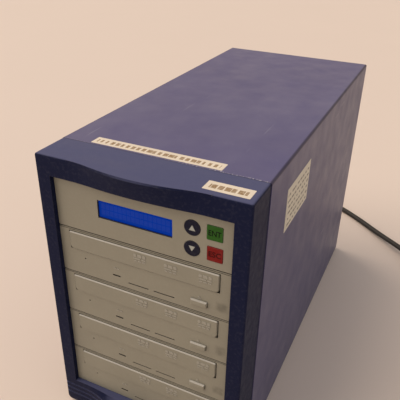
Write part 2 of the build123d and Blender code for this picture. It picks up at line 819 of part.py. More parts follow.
def make_key(place, outline_radius):
    """A key cap with its retaining flange and the stem that works a switch."""
    x, z = place[0], control_floor + place[1]
    with BuildPart() as key:
        cap = key_proud + panel_t + key_gap + key_flange
        for start, length, grow in ((face_y - key_proud, cap, 0),
                                    (panel_back + key_gap, key_flange, key_flange_reach)):
            with BuildSketch(front(start)):
                with Locations((x, z)):
                    if outline_radius:
                        Circle(outline_radius + grow)
                    else:
                        RectangleRounded(square_key[0] + 2 * grow, square_key[1] + 2 * grow,
                                         square_key_corner)
            extrude(amount=-length)
        chamfer(key.faces().sort_by(Axis.Y)[0].edges(), key_chamfer)
        with BuildSketch(front(panel_back + key_gap)):
            with Locations((x, z)):
                Circle(key_stem_r)
        extrude(amount=-(key_board_y - panel_back - key_gap - key_travel - slip))
    return key.part


def display_middle():
    return (display_x[0] + display_x[1]) / 2, control_floor + (display_z[0] + display_z[1]) / 2


def make_display():
    """Display module: glass in the panel's window, frame and board behind it."""
    window = (display_x[1] - display_x[0], display_z[1] - display_z[0])
    with BuildPart() as display:
        with BuildSketch(front(display_front)):
            with Locations(display_middle()):
                Rectangle(*display_frame)
        extrude(amount=-display_frame_t)
        with BuildSketch(front(display_front + display_frame_t)):
            with Locations(display_middle()):
                Rectangle(*display_board)
        extrude(amount=-board_t)
        with BuildSketch(front(display_front)):
            with Locations(display_middle()):
                Rectangle(window[0] - 2 * display_edge, window[1] - 2 * display_edge)
        extrude(amount=display_glass_t)
    return display.part


def make_controller_boards():
    """Key board behind the panel, with its switches, and the main board behind it."""
    rounds, squares = key_places()
    display_back = display_front + display_frame_t + board_t
    width = drive_width - 2 * drive_sheet - 2 * slip
    with BuildPart() as key_board:
        with BuildSketch(front(key_board_y)):
            with Locations((0, control_floor + bay_pitch / 2)):
                Rectangle(width, key_board_h)
        extrude(amount=-board_t)
        with BuildSketch(front(key_board_y)):
            with Locations(*[(x, control_floor + z) for x, z in rounds + squares]):
                Rectangle(switch_size, switch_size)
                Circle(key_stem_r + bore_clearance, mode=Mode.SUBTRACT)
        extrude(amount=switch_t)
        with BuildSketch(front(key_board_y)):
            with Locations(display_middle()):
                with GridLocations(display_board[0] - 2 * spacer_inset,
                                   display_board[1] - 2 * spacer_inset, 2, 2):
                    Circle(spacer_r)
        extrude(amount=key_board_y - display_back)
    with BuildPart() as main_board:
        with Locations((0, main_board_y, control_floor + main_board_z)):
            Box(*main_board_size, board_t)
        with Locations(*[(x, key_board_y + y, board_top + chip_size[2] / 2) for x, y in chip_at]):
            Box(*chip_size)
        with Locations((0, main_board_y - main_board_size[1] / 2 + header_size[1] / 2,
                        board_top + header_size[2] / 2)):
            Box(*header_size)
    return Compound(children=[key_board.part, main_board.part])


def make_controller_bracket():
    """Folded tray that carries the control panel and its boards in the top bay."""
    low = control_floor + (bay_pitch - drive_height) / 2
    with BuildPart() as bracket:
        with BuildSketch(front(panel_back)):
            with Locations((0, low + drive_height / 2)):
                Rectangle(drive_width, drive_height)
            with Locations((0, low + drive_sheet + drive_height / 2)):
                Rectangle(drive_width - 2 * drive_sheet, drive_height, mode=Mode.SUBTRACT)
        extrude(amount=-bracket_depth)
        with BuildSketch(level(low)):
            with Locations((0, main_board_y)):
                with GridLocations(main_board_size[0] - 2 * boss_inset[0],
                                   main_board_size[1] - 2 * boss_inset[1], 2, 2):
                    Circle(boss_r)
        extrude(amount=board_top - board_t - low)
    return bracket.part


# ------------------------------------------------------------------ fans

def make_fan_frame(x, z, rear):
    """Square fan frame whose rear face lies at depth rear; the motor hub sits at its rear."""
    with BuildPart() as frame:
        with BuildSketch(front(rear)):
            with Locations((x, z)):
                RectangleRounded(fan_size, fan_size, fan_corner)
                Circle(fan_bore_r, mode=Mode.SUBTRACT)
                with GridLocations(fan_holes, fan_holes, 2, 2):
                    Circle(screw_r + bore_clearance, mode=Mode.SUBTRACT)
        extrude(amount=fan_depth)
        with BuildSketch(front(rear)):
            with Locations((x, z)):
                Circle(fan_motor_r)
                with PolarLocations(0, 2, 45, 180):
                    Rectangle(fan_size, fan_strut)
                Rectangle(fan_size, fan_size, mode=Mode.INTERSECT)
        extrude(amount=fan_base_t)
        with BuildSketch(front(rear - fan_base_t)):
            with Locations((x, z)):
                Circle(fan_bearing_r)
                Circle(shaft_r + bore_clearance, mode=Mode.SUBTRACT)
        extrude(amount=fan_bearing_length)
    return frame.part


def make_fan_rotor(x, z, rear):
    """Rotor with twisted blades, running on a shaft in the frame's bearing tube."""
    hub_back = rear - fan_base_t - slip
    hub_front = rear - fan_depth + fan_hub_sunk
    mid = (hub_back + hub_front) / 2
    chord = hub_back - hub_front - 4 * fan_hub_sunk
    with BuildPart() as rotor:
        with BuildSketch(front(hub_back)):
            with Locations((x, z)):
                Circle(fan_hub_r)
        extrude(amount=hub_back - hub_front)
        with BuildSketch(front(hub_back)):
            with Locations((x, z)):
                Circle(fan_hub_r - fan_hub_wall)
                Circle(shaft_r, mode=Mode.SUBTRACT)
        extrude(amount=hub_back - hub_front - fan_hub_wall, mode=Mode.SUBTRACT)
        for blade in range(fan_blades):
            turn = 360 / fan_blades * blade
            sections = []
            for radius, pitch in zip((fan_hub_r - fan_hub_wall / 2, fan_blade_r), fan_blade_pitch):
                out = (cos(radians(turn)), 0, sin(radians(turn)))
                along = (-sin(radians(turn)), 0, cos(radians(turn)))
                lean = (along[0] * sin(radians(pitch)), cos(radians(pitch)),
                        along[2] * sin(radians(pitch)))
                with BuildSketch(Plane(origin=(x + radius * out[0], mid, z + radius * out[2]),
                                       x_dir=lean, z_dir=out)) as section:
                    Rectangle(chord, fan_blade_t)
                sections.append(section.sketch)
            loft(sections, ruled=True)
    return rotor.part


def make_fan_guard():
    """Stamped finger guard over the power supply's fan."""
    with BuildPart() as guard:
        with BuildSketch(front(supply_y)):
            with Locations((supply_fan_x, supply_z)):
                for ring in guard_rings:
                    Circle(ring)
                    Circle(ring - guard_wire, mode=Mode.SUBTRACT)
                with PolarLocations(0, 2, 45, 180):
                    Rectangle(sqrt(2) * fan_holes, guard_wire)
                with GridLocations(fan_holes, fan_holes, 2, 2):
                    Circle(screw_head_r)
                    Circle(screw_r + bore_clearance, mode=Mode.SUBTRACT)
        extrude(amount=-sheet)
    return guard.part


# ------------------------------------------------------------------ power supply

def make_supply_case():
    mid_y = supply_y - supply_d / 2
    with BuildPart() as case:
        with Locations((0, mid_y, supply_z)):
            Box(supply_w, supply_d, supply_h)
            Box(supply_w - 2 * sheet, supply_d - 2 * sheet, supply_h - 2 * sheet, mode=Mode.SUBTRACT)
        with BuildSketch(front(supply_y)):
            with Locations((supply_fan_x, supply_z)):
                Circle(fan_bore_r - 1)
                with GridLocations(fan_holes, fan_holes, 2, 2):
                    Circle(screw_r + bore_clearance)
            with Locations((inlet_x, inlet_z)):
                Rectangle(inlet_cavity[0] + 2 * inlet_wall, inlet_cavity[1] + 2 * inlet_wall)
            with Locations((inlet_x, rocker_z)):
                Rectangle(rocker_w + 2 * (switch_wall + cutout_gap),
                          2 * (rocker_r + switch_wall + cutout_gap))
            with Locations((0, supply_z)):
                with GridLocations(*supply_screw, 2, 2):
                    Circle(screw_r + bore_clearance)
        extrude(amount=2 * sheet, mode=Mode.SUBTRACT)
        with BuildSketch(front(supply_y - supply_d)):
            with Locations((0, supply_z)):
                with GridLocations(*supply_vent_pitch, *supply_vent_count):
                    SlotOverall(*supply_vent, rotation=90)
        extrude(amount=-2 * sheet, mode=Mode.SUBTRACT)
    return case.part


def make_supply_circuit():
    """Board of the power supply with its transformer, heat sinks and capacitors."""
    floor = deck_z + sheet
    width = supply_w - 2 * (sheet + supply_board_gap)
    length = supply_d - 2 * (sheet + supply_board_gap) - fan_depth
    mid_y = supply_y - supply_d + sheet + supply_board_gap + length / 2
    low = floor + supply_board_z - board_t / 2
    top = low + board_t
    post_x = width / 2 - supply_post_inset[0]
    post_y = length / 2 - supply_post_inset[1]
    with BuildPart() as circuit:
        with Locations((0, mid_y, low + board_t / 2)):
            Box(width, length, board_t)
        with Locations(*[(s * post_x, mid_y + t * post_y, (floor + low) / 2)
                         for s in (-1, 1) for t in (-1, 1)]):
            Cylinder(supply_post_r, low - floor)
        with Locations((0, mid_y, top + transformer_size[2] / 2)):
            Box(*transformer_size)
        with Locations(*[(s * heat_sink_x, mid_y, top + heat_sink_h / 2) for s in (-1, 1)]):
            Box(heat_sink_t, length - 2 * heat_sink_end, heat_sink_h)
        with Locations(*[(x, mid_y + y, top + capacitor_h / 2) for x, y in capacitor_at]):
            Cylinder(capacitor_r, capacitor_h)
    return circuit.part


def make_power_inlet():
    """Appliance inlet with three pins in its cavity."""
    with BuildPart() as inlet:
        with BuildSketch(front(inlet_face)):
            with Locations((inlet_x, inlet_z)):
                RectangleRounded(*inlet_flange, inlet_face_t)
        extrude(amount=inlet_face_t)
        with BuildSketch(front(supply_y)):
            with Locations((inlet_x, inlet_z)):
                Rectangle(inlet_cavity[0] + 2 * (inlet_wall - cutout_gap),
                          inlet_cavity[1] + 2 * (inlet_wall - cutout_gap))
        extrude(amount=inlet_depth - inlet_face_t + inlet_back)
        with BuildSketch(front(inlet_face)):
            with Locations((inlet_x, inlet_z)):
                RectangleRounded(*inlet_cavity, nose_corner)
        extrude(amount=inlet_depth, mode=Mode.SUBTRACT)
        with BuildSketch(front(inlet_face - inlet_depth)):
            with Locations(*[(inlet_x + dx, inlet_z + dz) for dx, dz in inlet_pins]):
                Rectangle(*inlet_pin)
        extrude(amount=-inlet_pin_length)
    return inlet.part


def make_switch_housing():
    with BuildPart() as housing:
        with BuildSketch(front(supply_y + switch_face_t)):
            with Locations((inlet_x, rocker_z)):
                RectangleRounded(rocker_w + 2 * switch_rim, 2 * (rocker_r + switch_rim), switch_face_t)
        extrude(amount=switch_face_t)
        with BuildSketch(front(supply_y)):
            with Locations((inlet_x, rocker_z)):
                Rectangle(rocker_w + 2 * switch_wall, 2 * (rocker_r + switch_wall))
        extrude(amount=switch_depth)
        with BuildSketch(front(supply_y + switch_face_t)):
            with Locations((inlet_x, rocker_z)):
                Rectangle(rocker_w + 2 * button_slip, 2 * (rocker_r + slip))
        extrude(amount=switch_face_t + switch_depth - switch_floor, mode=Mode.SUBTRACT)
        with BuildSketch(side(inlet_x)):
            with Locations((supply_y, rocker_z)):
                Circle(rocker_pin_r + bore_clearance)
        extrude(amount=rocker_w / 2 + rocker_pin_reach + cutout_gap, both=True, mode=Mode.SUBTRACT)
    return housing.part


def make_switch_rocker():
    """Rocker with two flat lands, tipped to one side, on a pin across its housing."""
    land_rise = 2 * rocker_r * tan(radians(rocker_tilt))
    with BuildPart() as rocker:
        with BuildSketch(side(inlet_x)):
            with Locations((supply_y, rocker_z)):
                Circle(rocker_r)
            with BuildLine():
                Polyline(*[(supply_y + dy, rocker_z + dz) for dy, dz in
                           ((rocker_land, 0), (rocker_land + land_rise, 2 * rocker_r),
                            (3 * rocker_r, 2 * rocker_r), (3 * rocker_r, -2 * rocker_r),
                            (rocker_land + land_rise, -2 * rocker_r))],
                         close=True)
            make_face(mode=Mode.SUBTRACT)
        extrude(amount=rocker_w / 2, both=True)
        with BuildSketch(side(inlet_x)):
            with Locations((supply_y, rocker_z)):
                Circle(rocker_pin_r)
        extrude(amount=rocker_w / 2 + rocker_pin_reach, both=True)
    return rocker.part.rotate(Axis((inlet_x, supply_y, rocker_z), (1, 0, 0)), -rocker_tilt)


# ------------------------------------------------------------------ mains lead

def make_power_connector():
    """Moulded appliance connector: nose in the inlet, grip and ribbed strain relief."""
    nose_start = inlet_face - nose_slip_depth
    grip_y = inlet_face + slip
    with BuildPart() as connector:
        with BuildSketch(front(nose_start)):
            with Locations((inlet_x, inlet_z)):
                RectangleRounded(*nose_size, nose_corner)
                with Locations(*inlet_pins):
                    Rectangle(inlet_pin[0] + 2 * slip, inlet_pin[1] + 2 * slip, mode=Mode.SUBTRACT)
        extrude(amount=-(grip_y - nose_start))
        with BuildSketch(front(grip_y)) as flare:
            with Locations((inlet_x, inlet_z)):
                RectangleRounded(nose_size[0] + 2 * grip_reach, nose_size[1] + 2 * grip_reach,
                                 grip_corner)
        with BuildSketch(front(grip_y + grip_length)) as waist:
            with Locations((inlet_x, inlet_z)):
                RectangleRounded(*grip_waist, grip_corner)
        loft([flare.sketch, waist.sketch], ruled=True)
        add(strain_relief(Plane(origin=(inlet_x, grip_y + grip_length, inlet_z),
                                x_dir=(1, 0, 0), z_dir=(0, 1, 0))))
    return connector.part


def strain_relief(base):
    """Tapered relief round the cord, with cut rings."""
    with BuildPart(mode=Mode.PRIVATE) as relief:
        with BuildSketch(base):
            Circle(relief_r)
        extrude(amount=relief_length, taper=relief_taper)
        for ring in range(relief_rings):
            with BuildSketch(base.offset(relief_step * (ring + 1))):
                Circle(2 * relief_r)
                Circle(relief_core_r, mode=Mode.SUBTRACT)
            extrude(amount=relief_cut, mode=Mode.SUBTRACT)
    return relief.part


def cord_points():
    """Route of the lead: out of its relief, down to the table, round and on to the coil."""
    start_y = inlet_face + slip + grip_length + relief_length
    place, heading = coil_point(0)
    end = place - heading * cord_d
    before = end - heading * cord_end_run
    floor = cord_d / 2
    return [(inlet_x, start_y, inlet_z), (inlet_x, start_y + cord_start_run, inlet_z),
            (-34, 306, 18), (-4, 330, 4.6), (38, 330, floor), (77, 306, floor),
            (106, 285, floor), (139, 254, 5.4), before, end]


def cord_path(points):
    """Straight runs joined by arcs as large as the shorter run at each corner allows."""
    radii = []
    for a, b, c in zip(points, points[1:], points[2:]):
        before, after = Vector(b) - Vector(a), Vector(c) - Vector(b)
        half_turn = radians(before.get_angle(after)) / 2
        radii.append(0.45 * min(before.length, after.length) / tan(half_turn))
    with BuildLine() as route:
        FilletPolyline(*points, radius=radii)
    print("cord radii", [round(r, 1) for r in radii])
    return route.wire()


def make_power_cord():
    points = cord_points()
    path = cord_path(points)
    with BuildPart() as cord:
        with BuildSketch(Plane(origin=path @ 0, z_dir=path % 0)):
            Circle(cord_d / 2)
        sweep(path=path)
    print("cord run", round(path.length, 1), "volume", round(cord.part.volume, 1),
          "section x length", round(pi * cord_d ** 2 / 4 * path.length, 1))
    return cord.part, path


def coil_point(turn):
    """Place and heading of the coil's axis after so many turns."""
    out_r = coil_inner_r + coil_turns * turn_pitch
    centre = (coil_entry[0] - out_r * cos(radians(coil_start_angle)),
              coil_entry[1] - out_r * sin(radians(coil_start_angle)))
    if turn <= coil_turns:
        radius, slope, height = out_r - turn * turn_pitch, -turn_pitch, cord_d / 2 + turn_pitch
    elif turn < coil_turns + 0.5:
        radius, slope = coil_inner_r, 0
        height = cord_d / 2 + turn_pitch * (coil_turns + 0.5 - turn) / 0.5
    else:
        radius, slope = coil_inner_r + (turn - coil_turns - 0.5) * turn_pitch, turn_pitch
        height = cord_d / 2
    angle = radians(coil_start_angle + 360 * turn)
    place = Vector(centre[0] + radius * cos(angle), centre[1] + radius * sin(angle), height)
    drift = slope / (2 * pi)
    heading = Vector(-radius * sin(angle) + drift * cos(angle),
                     radius * cos(angle) + drift * sin(angle), 0).normalized()
    return place, heading


def biarc_joint(p, s, q, t):
    """Meeting point of the two equal-reach arcs from p along s to q along t."""
    v, both = q - p, s + t
    a = 2 * (1 - s.dot(t))
    reach = (-v.dot(both) + sqrt(v.dot(both) ** 2 + a * v.dot(v))) / a
    return (p + s * reach + q - t * reach) / 2


def make_power_cord_coil():
    """Coil of the stored lead as one tube: two spirals, one above the other."""
    inward = [0.5 * half for half in range(int(2 * coil_turns) + 1)] + [coil_turns]
    outward = [2 * coil_turns + 0.5 - turn for turn in reversed(inward)]
    stations = [coil_point(turn) for turn in inward + outward]
    start, end = stations[0], stations[-1]
    with BuildLine() as route:
        Line(start[0] - start[1] * cord_d, start[0])
        for (p, s), (q, t) in zip(stations, stations[1:]):
            joint = biarc_joint(p, s, q, t)
            first = TangentArc(p, joint, tangent=s)
            TangentArc(joint, q, tangent=first % 1)
        rise = end[0] + end[1] * coil_last_rise + Vector(0, 0, (plug_size[1] - cord_d) / 2)
        joint = biarc_joint(end[0], end[1], rise, end[1])
        first = TangentArc(end[0], joint, tangent=end[1])
        TangentArc(joint, rise, tangent=first % 1)
        Line(rise, rise + end[1] * cord_d)
    path = route.wire()
    with BuildPart() as coil:
        with BuildSketch(Plane(origin=path @ 0, z_dir=path % 0)):
            Circle(cord_d / 2)
        sweep(path=path)
    print("coil length", round(path.length, 1), "volume", round(coil.part.volume, 1),
          "section x length", round(pi * cord_d ** 2 / 4 * path.length, 1))
    print("coil least gap to itself", round(least_gap(path), 2))
    return coil.part, rise + end[1] * cord_d, end[1]


def least_gap(path):
    """Least distance between stretches of the path over a third of a turn apart, less its diameter."""
    count = 900
    points = [path @ (i / count) for i in range(count + 1)]
    apart = int(count * 2 * coil_inner_r / path.length)
    best = 1e9
    for i, p in enumerate(points):
        for q in points[i + apart:]:
            best = min(best, (p - q).length)
    return best - cord_d


def make_power_plug(end, heading):
    """Three-pin mains plug lying beside the coil."""
    flat = Vector(heading.X, heading.Y, 0).normalized()
    base = Plane(origin=end, x_dir=(flat.Y, -flat.X, 0), z_dir=flat)
    grip = base.offset(relief_length)
    with BuildPart() as plug:
        add(strain_relief(Plane(origin=grip.origin, x_dir=grip.x_dir, z_dir=flat * -1)))
        with BuildSketch(grip) as waist:
            RectangleRounded(*plug_waist, plug_waist_corner)
        with BuildSketch(grip.offset(plug_flare)) as shoulder:
            RectangleRounded(*plug_size, plug_corner)
        loft([waist.sketch, shoulder.sketch], ruled=True)
        with BuildSketch(grip.offset(plug_flare)):
            RectangleRounded(*plug_size, plug_corner)
        extrude(amount=plug_length - plug_flare)
        with BuildSketch(grip.offset(plug_length)):
            with Locations(*blade_places):
                Rectangle(*blade_size)
            with Locations(earth_pin_place):
                Circle(earth_pin_r)
        extrude(amount=blade_length)
    return plug.part


# ------------------------------------------------------------------ build and write

def main():
    os.makedirs("parts", exist_ok=True)
    save(make_outer_cover(), "outer_cover")
    save(make_chassis_base(), "chassis_base")
    save(make_front_frame(), "front_frame")
    save(make_rear_panel(), "rear_panel")
    save(make_feet(), "rubber_feet")
    save(make_screws(), "rear_screws")
    save(make_front_bezel(), "front_bezel")
    save(make_drive_cage(), "drive_cage")
    for number in range(1, drive_count + 1):
        save(make_drive_housing(number), f"drive_housing_{number}")
        save(make_drive_bezel(number), f"drive_bezel_{number}")
        save(make_loader(number), f"loader_{number}")
        save(make_turntable(number), f"turntable_{number}")
        save(make_tray(number), f"tray_{number}")
        save(make_tray_door(number), f"tray_door_{number}")
        save(make_eject_button(number), f"eject_button_{number}")
    save(make_drive_leds(), "drive_lights")
    save(make_drive_cables(), "drive_cables")
    save(make_control_panel(), "control_panel")
    rounds, squares = key_places()
    save(make_key(rounds[0], round_key_r), "key_up")
    save(make_key(rounds[1], round_key_r), "key_down")
    save(make_key(squares[0], 0), "key_enter")
    save(make_key(squares[1], 0), "key_escape")
    save(make_display(), "display")
    save(make_controller_boards(), "controller_boards")
    save(make_controller_bracket(), "controller_bracket")
    save(make_fan_frame(0, case_fan_z, supply_y), "case_fan_frame")
    save(make_fan_rotor(0, case_fan_z, supply_y), "case_fan_rotor")
    save(make_fan_frame(supply_fan_x, supply_z, supply_y - sheet), "supply_fan_frame")
    save(make_fan_rotor(supply_fan_x, supply_z, supply_y - sheet), "supply_fan_rotor")
    save(make_fan_guard(), "fan_guard")
    save(make_supply_case(), "supply_case")
    save(make_supply_circuit(), "supply_circuit")
    save(make_power_inlet(), "power_inlet")
    save(make_switch_housing(), "switch_housing")
    save(make_switch_rocker(), "switch_rocker")
    save(make_power_connector(), "power_connector")
    cord, path = make_power_cord()
    save(cord, "power_cord")
    coil, end, heading = make_power_cord_coil()
    save(coil, "power_cord_coil")
    save(make_power_plug(end, heading), "power_plug")


main()
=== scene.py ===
"""Looks of the disc duplicator tower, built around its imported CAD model."""

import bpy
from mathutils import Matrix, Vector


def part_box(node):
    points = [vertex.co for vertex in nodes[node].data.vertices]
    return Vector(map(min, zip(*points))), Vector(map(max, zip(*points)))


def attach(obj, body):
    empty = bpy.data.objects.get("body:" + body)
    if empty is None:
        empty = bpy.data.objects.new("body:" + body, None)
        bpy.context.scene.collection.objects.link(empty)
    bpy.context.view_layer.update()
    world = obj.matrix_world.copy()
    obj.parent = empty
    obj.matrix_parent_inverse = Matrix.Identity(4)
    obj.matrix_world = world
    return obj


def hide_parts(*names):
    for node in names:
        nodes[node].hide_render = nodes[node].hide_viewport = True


bl_info = {
    "name": "Disc duplicator tower",
    "version": (1, 0, 0),
    "blender": (4, 5, 0),
    "location": "View3D > Sidebar > Tower",
    "description": "Finishes, cord, marks and stage of a tray-loading disc duplicator tower",
    "category": "Object",
}

from math import cos, pi, radians, sin

import bmesh
import bpy
from mathutils import Vector

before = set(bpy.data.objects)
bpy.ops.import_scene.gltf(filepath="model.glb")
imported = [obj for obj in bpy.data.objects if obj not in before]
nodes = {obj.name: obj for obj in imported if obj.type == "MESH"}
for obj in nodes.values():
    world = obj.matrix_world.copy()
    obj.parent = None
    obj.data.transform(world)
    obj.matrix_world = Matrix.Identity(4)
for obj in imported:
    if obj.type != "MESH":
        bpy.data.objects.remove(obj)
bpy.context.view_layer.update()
drives = (1, 2, 3, 4)
bay_pitch = 0.0425            # half-height drive bays
wire_pitch = 0.00127          # of a flat data cable
sticker_thickness = 0.0001
sticker_corner = 0.0004
print_edge = 0.0001           # over which a printed or lit area fades out


# ------------------------------------------------------------------ settings

def colour_setting(name, description, default):
    return bpy.props.FloatVectorProperty(name=name, description=description, default=default,
                                         subtype="COLOR", size=3, min=0.0, max=1.0)


def length_setting(name, description, default):
    return bpy.props.FloatProperty(name=name, description=description, default=default,
                                   unit="LENGTH", subtype="DISTANCE", min=0.0, precision=5)


class TowerFinishSettings(bpy.types.PropertyGroup):
    """Colours of the tower's paints, mouldings and metals, and of the light and shade painted onto them
    """
    cover_navy: colour_setting("Cover navy", "Powder coat of the steel cover", (0.080, 0.078, 0.195))
    # painted reflection: the sides greyer than the top, as they mirror the floor
    cover_side_reflection: colour_setting("Cover side", "Greyer tint of the cover's sides", (0.088, 0.083, 0.125))
    # painted reflection: the dark line that the rounded folds mirror
    cover_fold_reflection: colour_setting("Cover fold", "Dark line along the cover's folds", (0.010, 0.008, 0.055))
    bezel_navy: colour_setting("Bezel navy", "Moulded navy of the front bezel", (0.009, 0.013, 0.045))
    # painted light: the bezel's top made paler than its front
    bezel_top_light: colour_setting("Bezel top", "Top of the bezel, paler than its front",
                              (0.092, 0.102, 0.205))
    bezel_scuff: colour_setting("Bezel scuff", "Rubbed patches on the bezel's top",
                                (0.105, 0.108, 0.18))
    face_beige: colour_setting("Face beige", "Drive faces, doors and control panel",
                               (0.305, 0.293, 0.235))
    lamp_guide: colour_setting("Lamp guide", "Unlit light guides of the drives", (0.02, 0.022, 0.015))
    key_navy: colour_setting("Key navy", "Round arrow keys", (0.006, 0.007, 0.024))
    key_green: colour_setting("Key green", "Enter key", (0.028, 0.118, 0.013))
    key_red: colour_setting("Key red", "Escape key", (0.215, 0.009, 0.008))
    legend_green: colour_setting("Enter legend", "Print on the enter key", (0.003, 0.010, 0.002))
    legend_red: colour_setting("Escape legend", "Print on the escape key", (0.050, 0.003, 0.003))
    arrow_grey: colour_setting("Arrow grey", "Print on the round keys", (0.42, 0.45, 0.42))
    display_blue: colour_setting("Display blue", "Lit display glass", (0.0, 0.027, 0.27))
    display_frame: colour_setting("Display frame", "Black frame of the display", (0.003, 0.003, 0.005))
    board_green: colour_setting("Board green", "Solder mask of the boards", (0.02, 0.11, 0.045))
    chip_black: colour_setting("Chip black", "Parts that stand on the boards", (0.022, 0.022, 0.025))
    cable_grey: colour_setting("Cable grey", "Flat data cables", (0.25, 0.26, 0.28))
    zinc: colour_setting("Zinc", "Plated steel inside and behind", (0.56, 0.57, 0.58))
    black: colour_setting("Black", "Fans, inlet, switch, tray and cord", (0.018, 0.018, 0.020))
    pin_brass: colour_setting("Pin brass", "Pins of the mains plug", (0.72, 0.52, 0.24))
    tape_cream: colour_setting("Tape cream", "Label tape on the cover and the bezel", (0.76, 0.68, 0.56))
    tape_ink: colour_setting("Tape ink", "Strokes printed on the label tape", (0.25, 0.15, 0.06))
    label_grey: colour_setting("Label grey", "Paper label on the cover's side", (0.70, 0.66, 0.55))
    label_ink: colour_setting("Label ink", "Strokes printed on the paper label", (0.13, 0.11, 0.085))


class TowerCordSettings(bpy.types.PropertyGroup):
    """Sizes of the mains lead and of its stored coil"""
    diameter: length_setting("Diameter", "Thickness of the lead", 0.007)
    pitch: length_setting("Turn pitch", "From one turn of the coil to the next", 0.0078)
    inner_radius: length_setting("Inner radius", "Innermost turn of the coil, at the lead's axis",
                                 0.0315)
    turns: bpy.props.FloatProperty(name="Turns", description="Turns in each of the two layers",
                                   default=2.494, min=1.0)
    length: length_setting("Length", "Whole length from connector to plug", 1.797)


class TowerStageSettings(bpy.types.PropertyGroup):
    """Floor, lamps and camera"""
    floor_colour: colour_setting("Floor", "Pale floor that the tower stands on", (0.74, 0.64, 0.57))
    wall_colour: colour_setting("Wall", "Pale surroundings, as seen and mirrored", (0.74, 0.60, 0.49))
    front_light: colour_setting("Front light", "Soft light from the front", (0.22, 0.215, 0.215))
    rear_light: colour_setting("Rear light", "Soft light from above and behind", (0.60, 0.57, 0.56))
    lamp_colour: colour_setting("Lamp colour", "Warm tint of the large lamp", (1.0, 0.83, 0.67))
    lamp_strength: bpy.props.FloatProperty(
        name="Lamp strength", description="Light of the large lamp on a surface that faces it, W/m2",
        default=2.5, min=0.0)
    lamp_spread: bpy.props.FloatProperty(
        name="Lamp spread", description="Angle over which the large lamp reaches, for soft shadows",
        default=radians(75.0), subtype="ANGLE", unit="ROTATION", min=0.0, max=pi)
    camera_place: bpy.props.FloatVectorProperty(
        name="Camera place", description="Where the camera stands", subtype="XYZ", unit="LENGTH",
        default=(0.17766, -0.46407, 0.42473), size=3)
    camera_turn: bpy.props.FloatVectorProperty(
        name="Camera turn", description="How the camera is turned", subtype="EULER",
        default=(radians(61.1619), radians(-1.0789), radians(25.4149)), size=3)
    camera_lens: bpy.props.FloatProperty(name="Lens", description="Focal length in mm, 36 mm sensor",
                                         default=48.005, min=1.0)


# ------------------------------------------------------------------ finishes

def add_node(tree, kind, **values):
    """New shader node in a tree, with its settings."""
    node = tree.nodes.new(kind)
    for key, value in values.items():
        setattr(node, key, value)
    return node


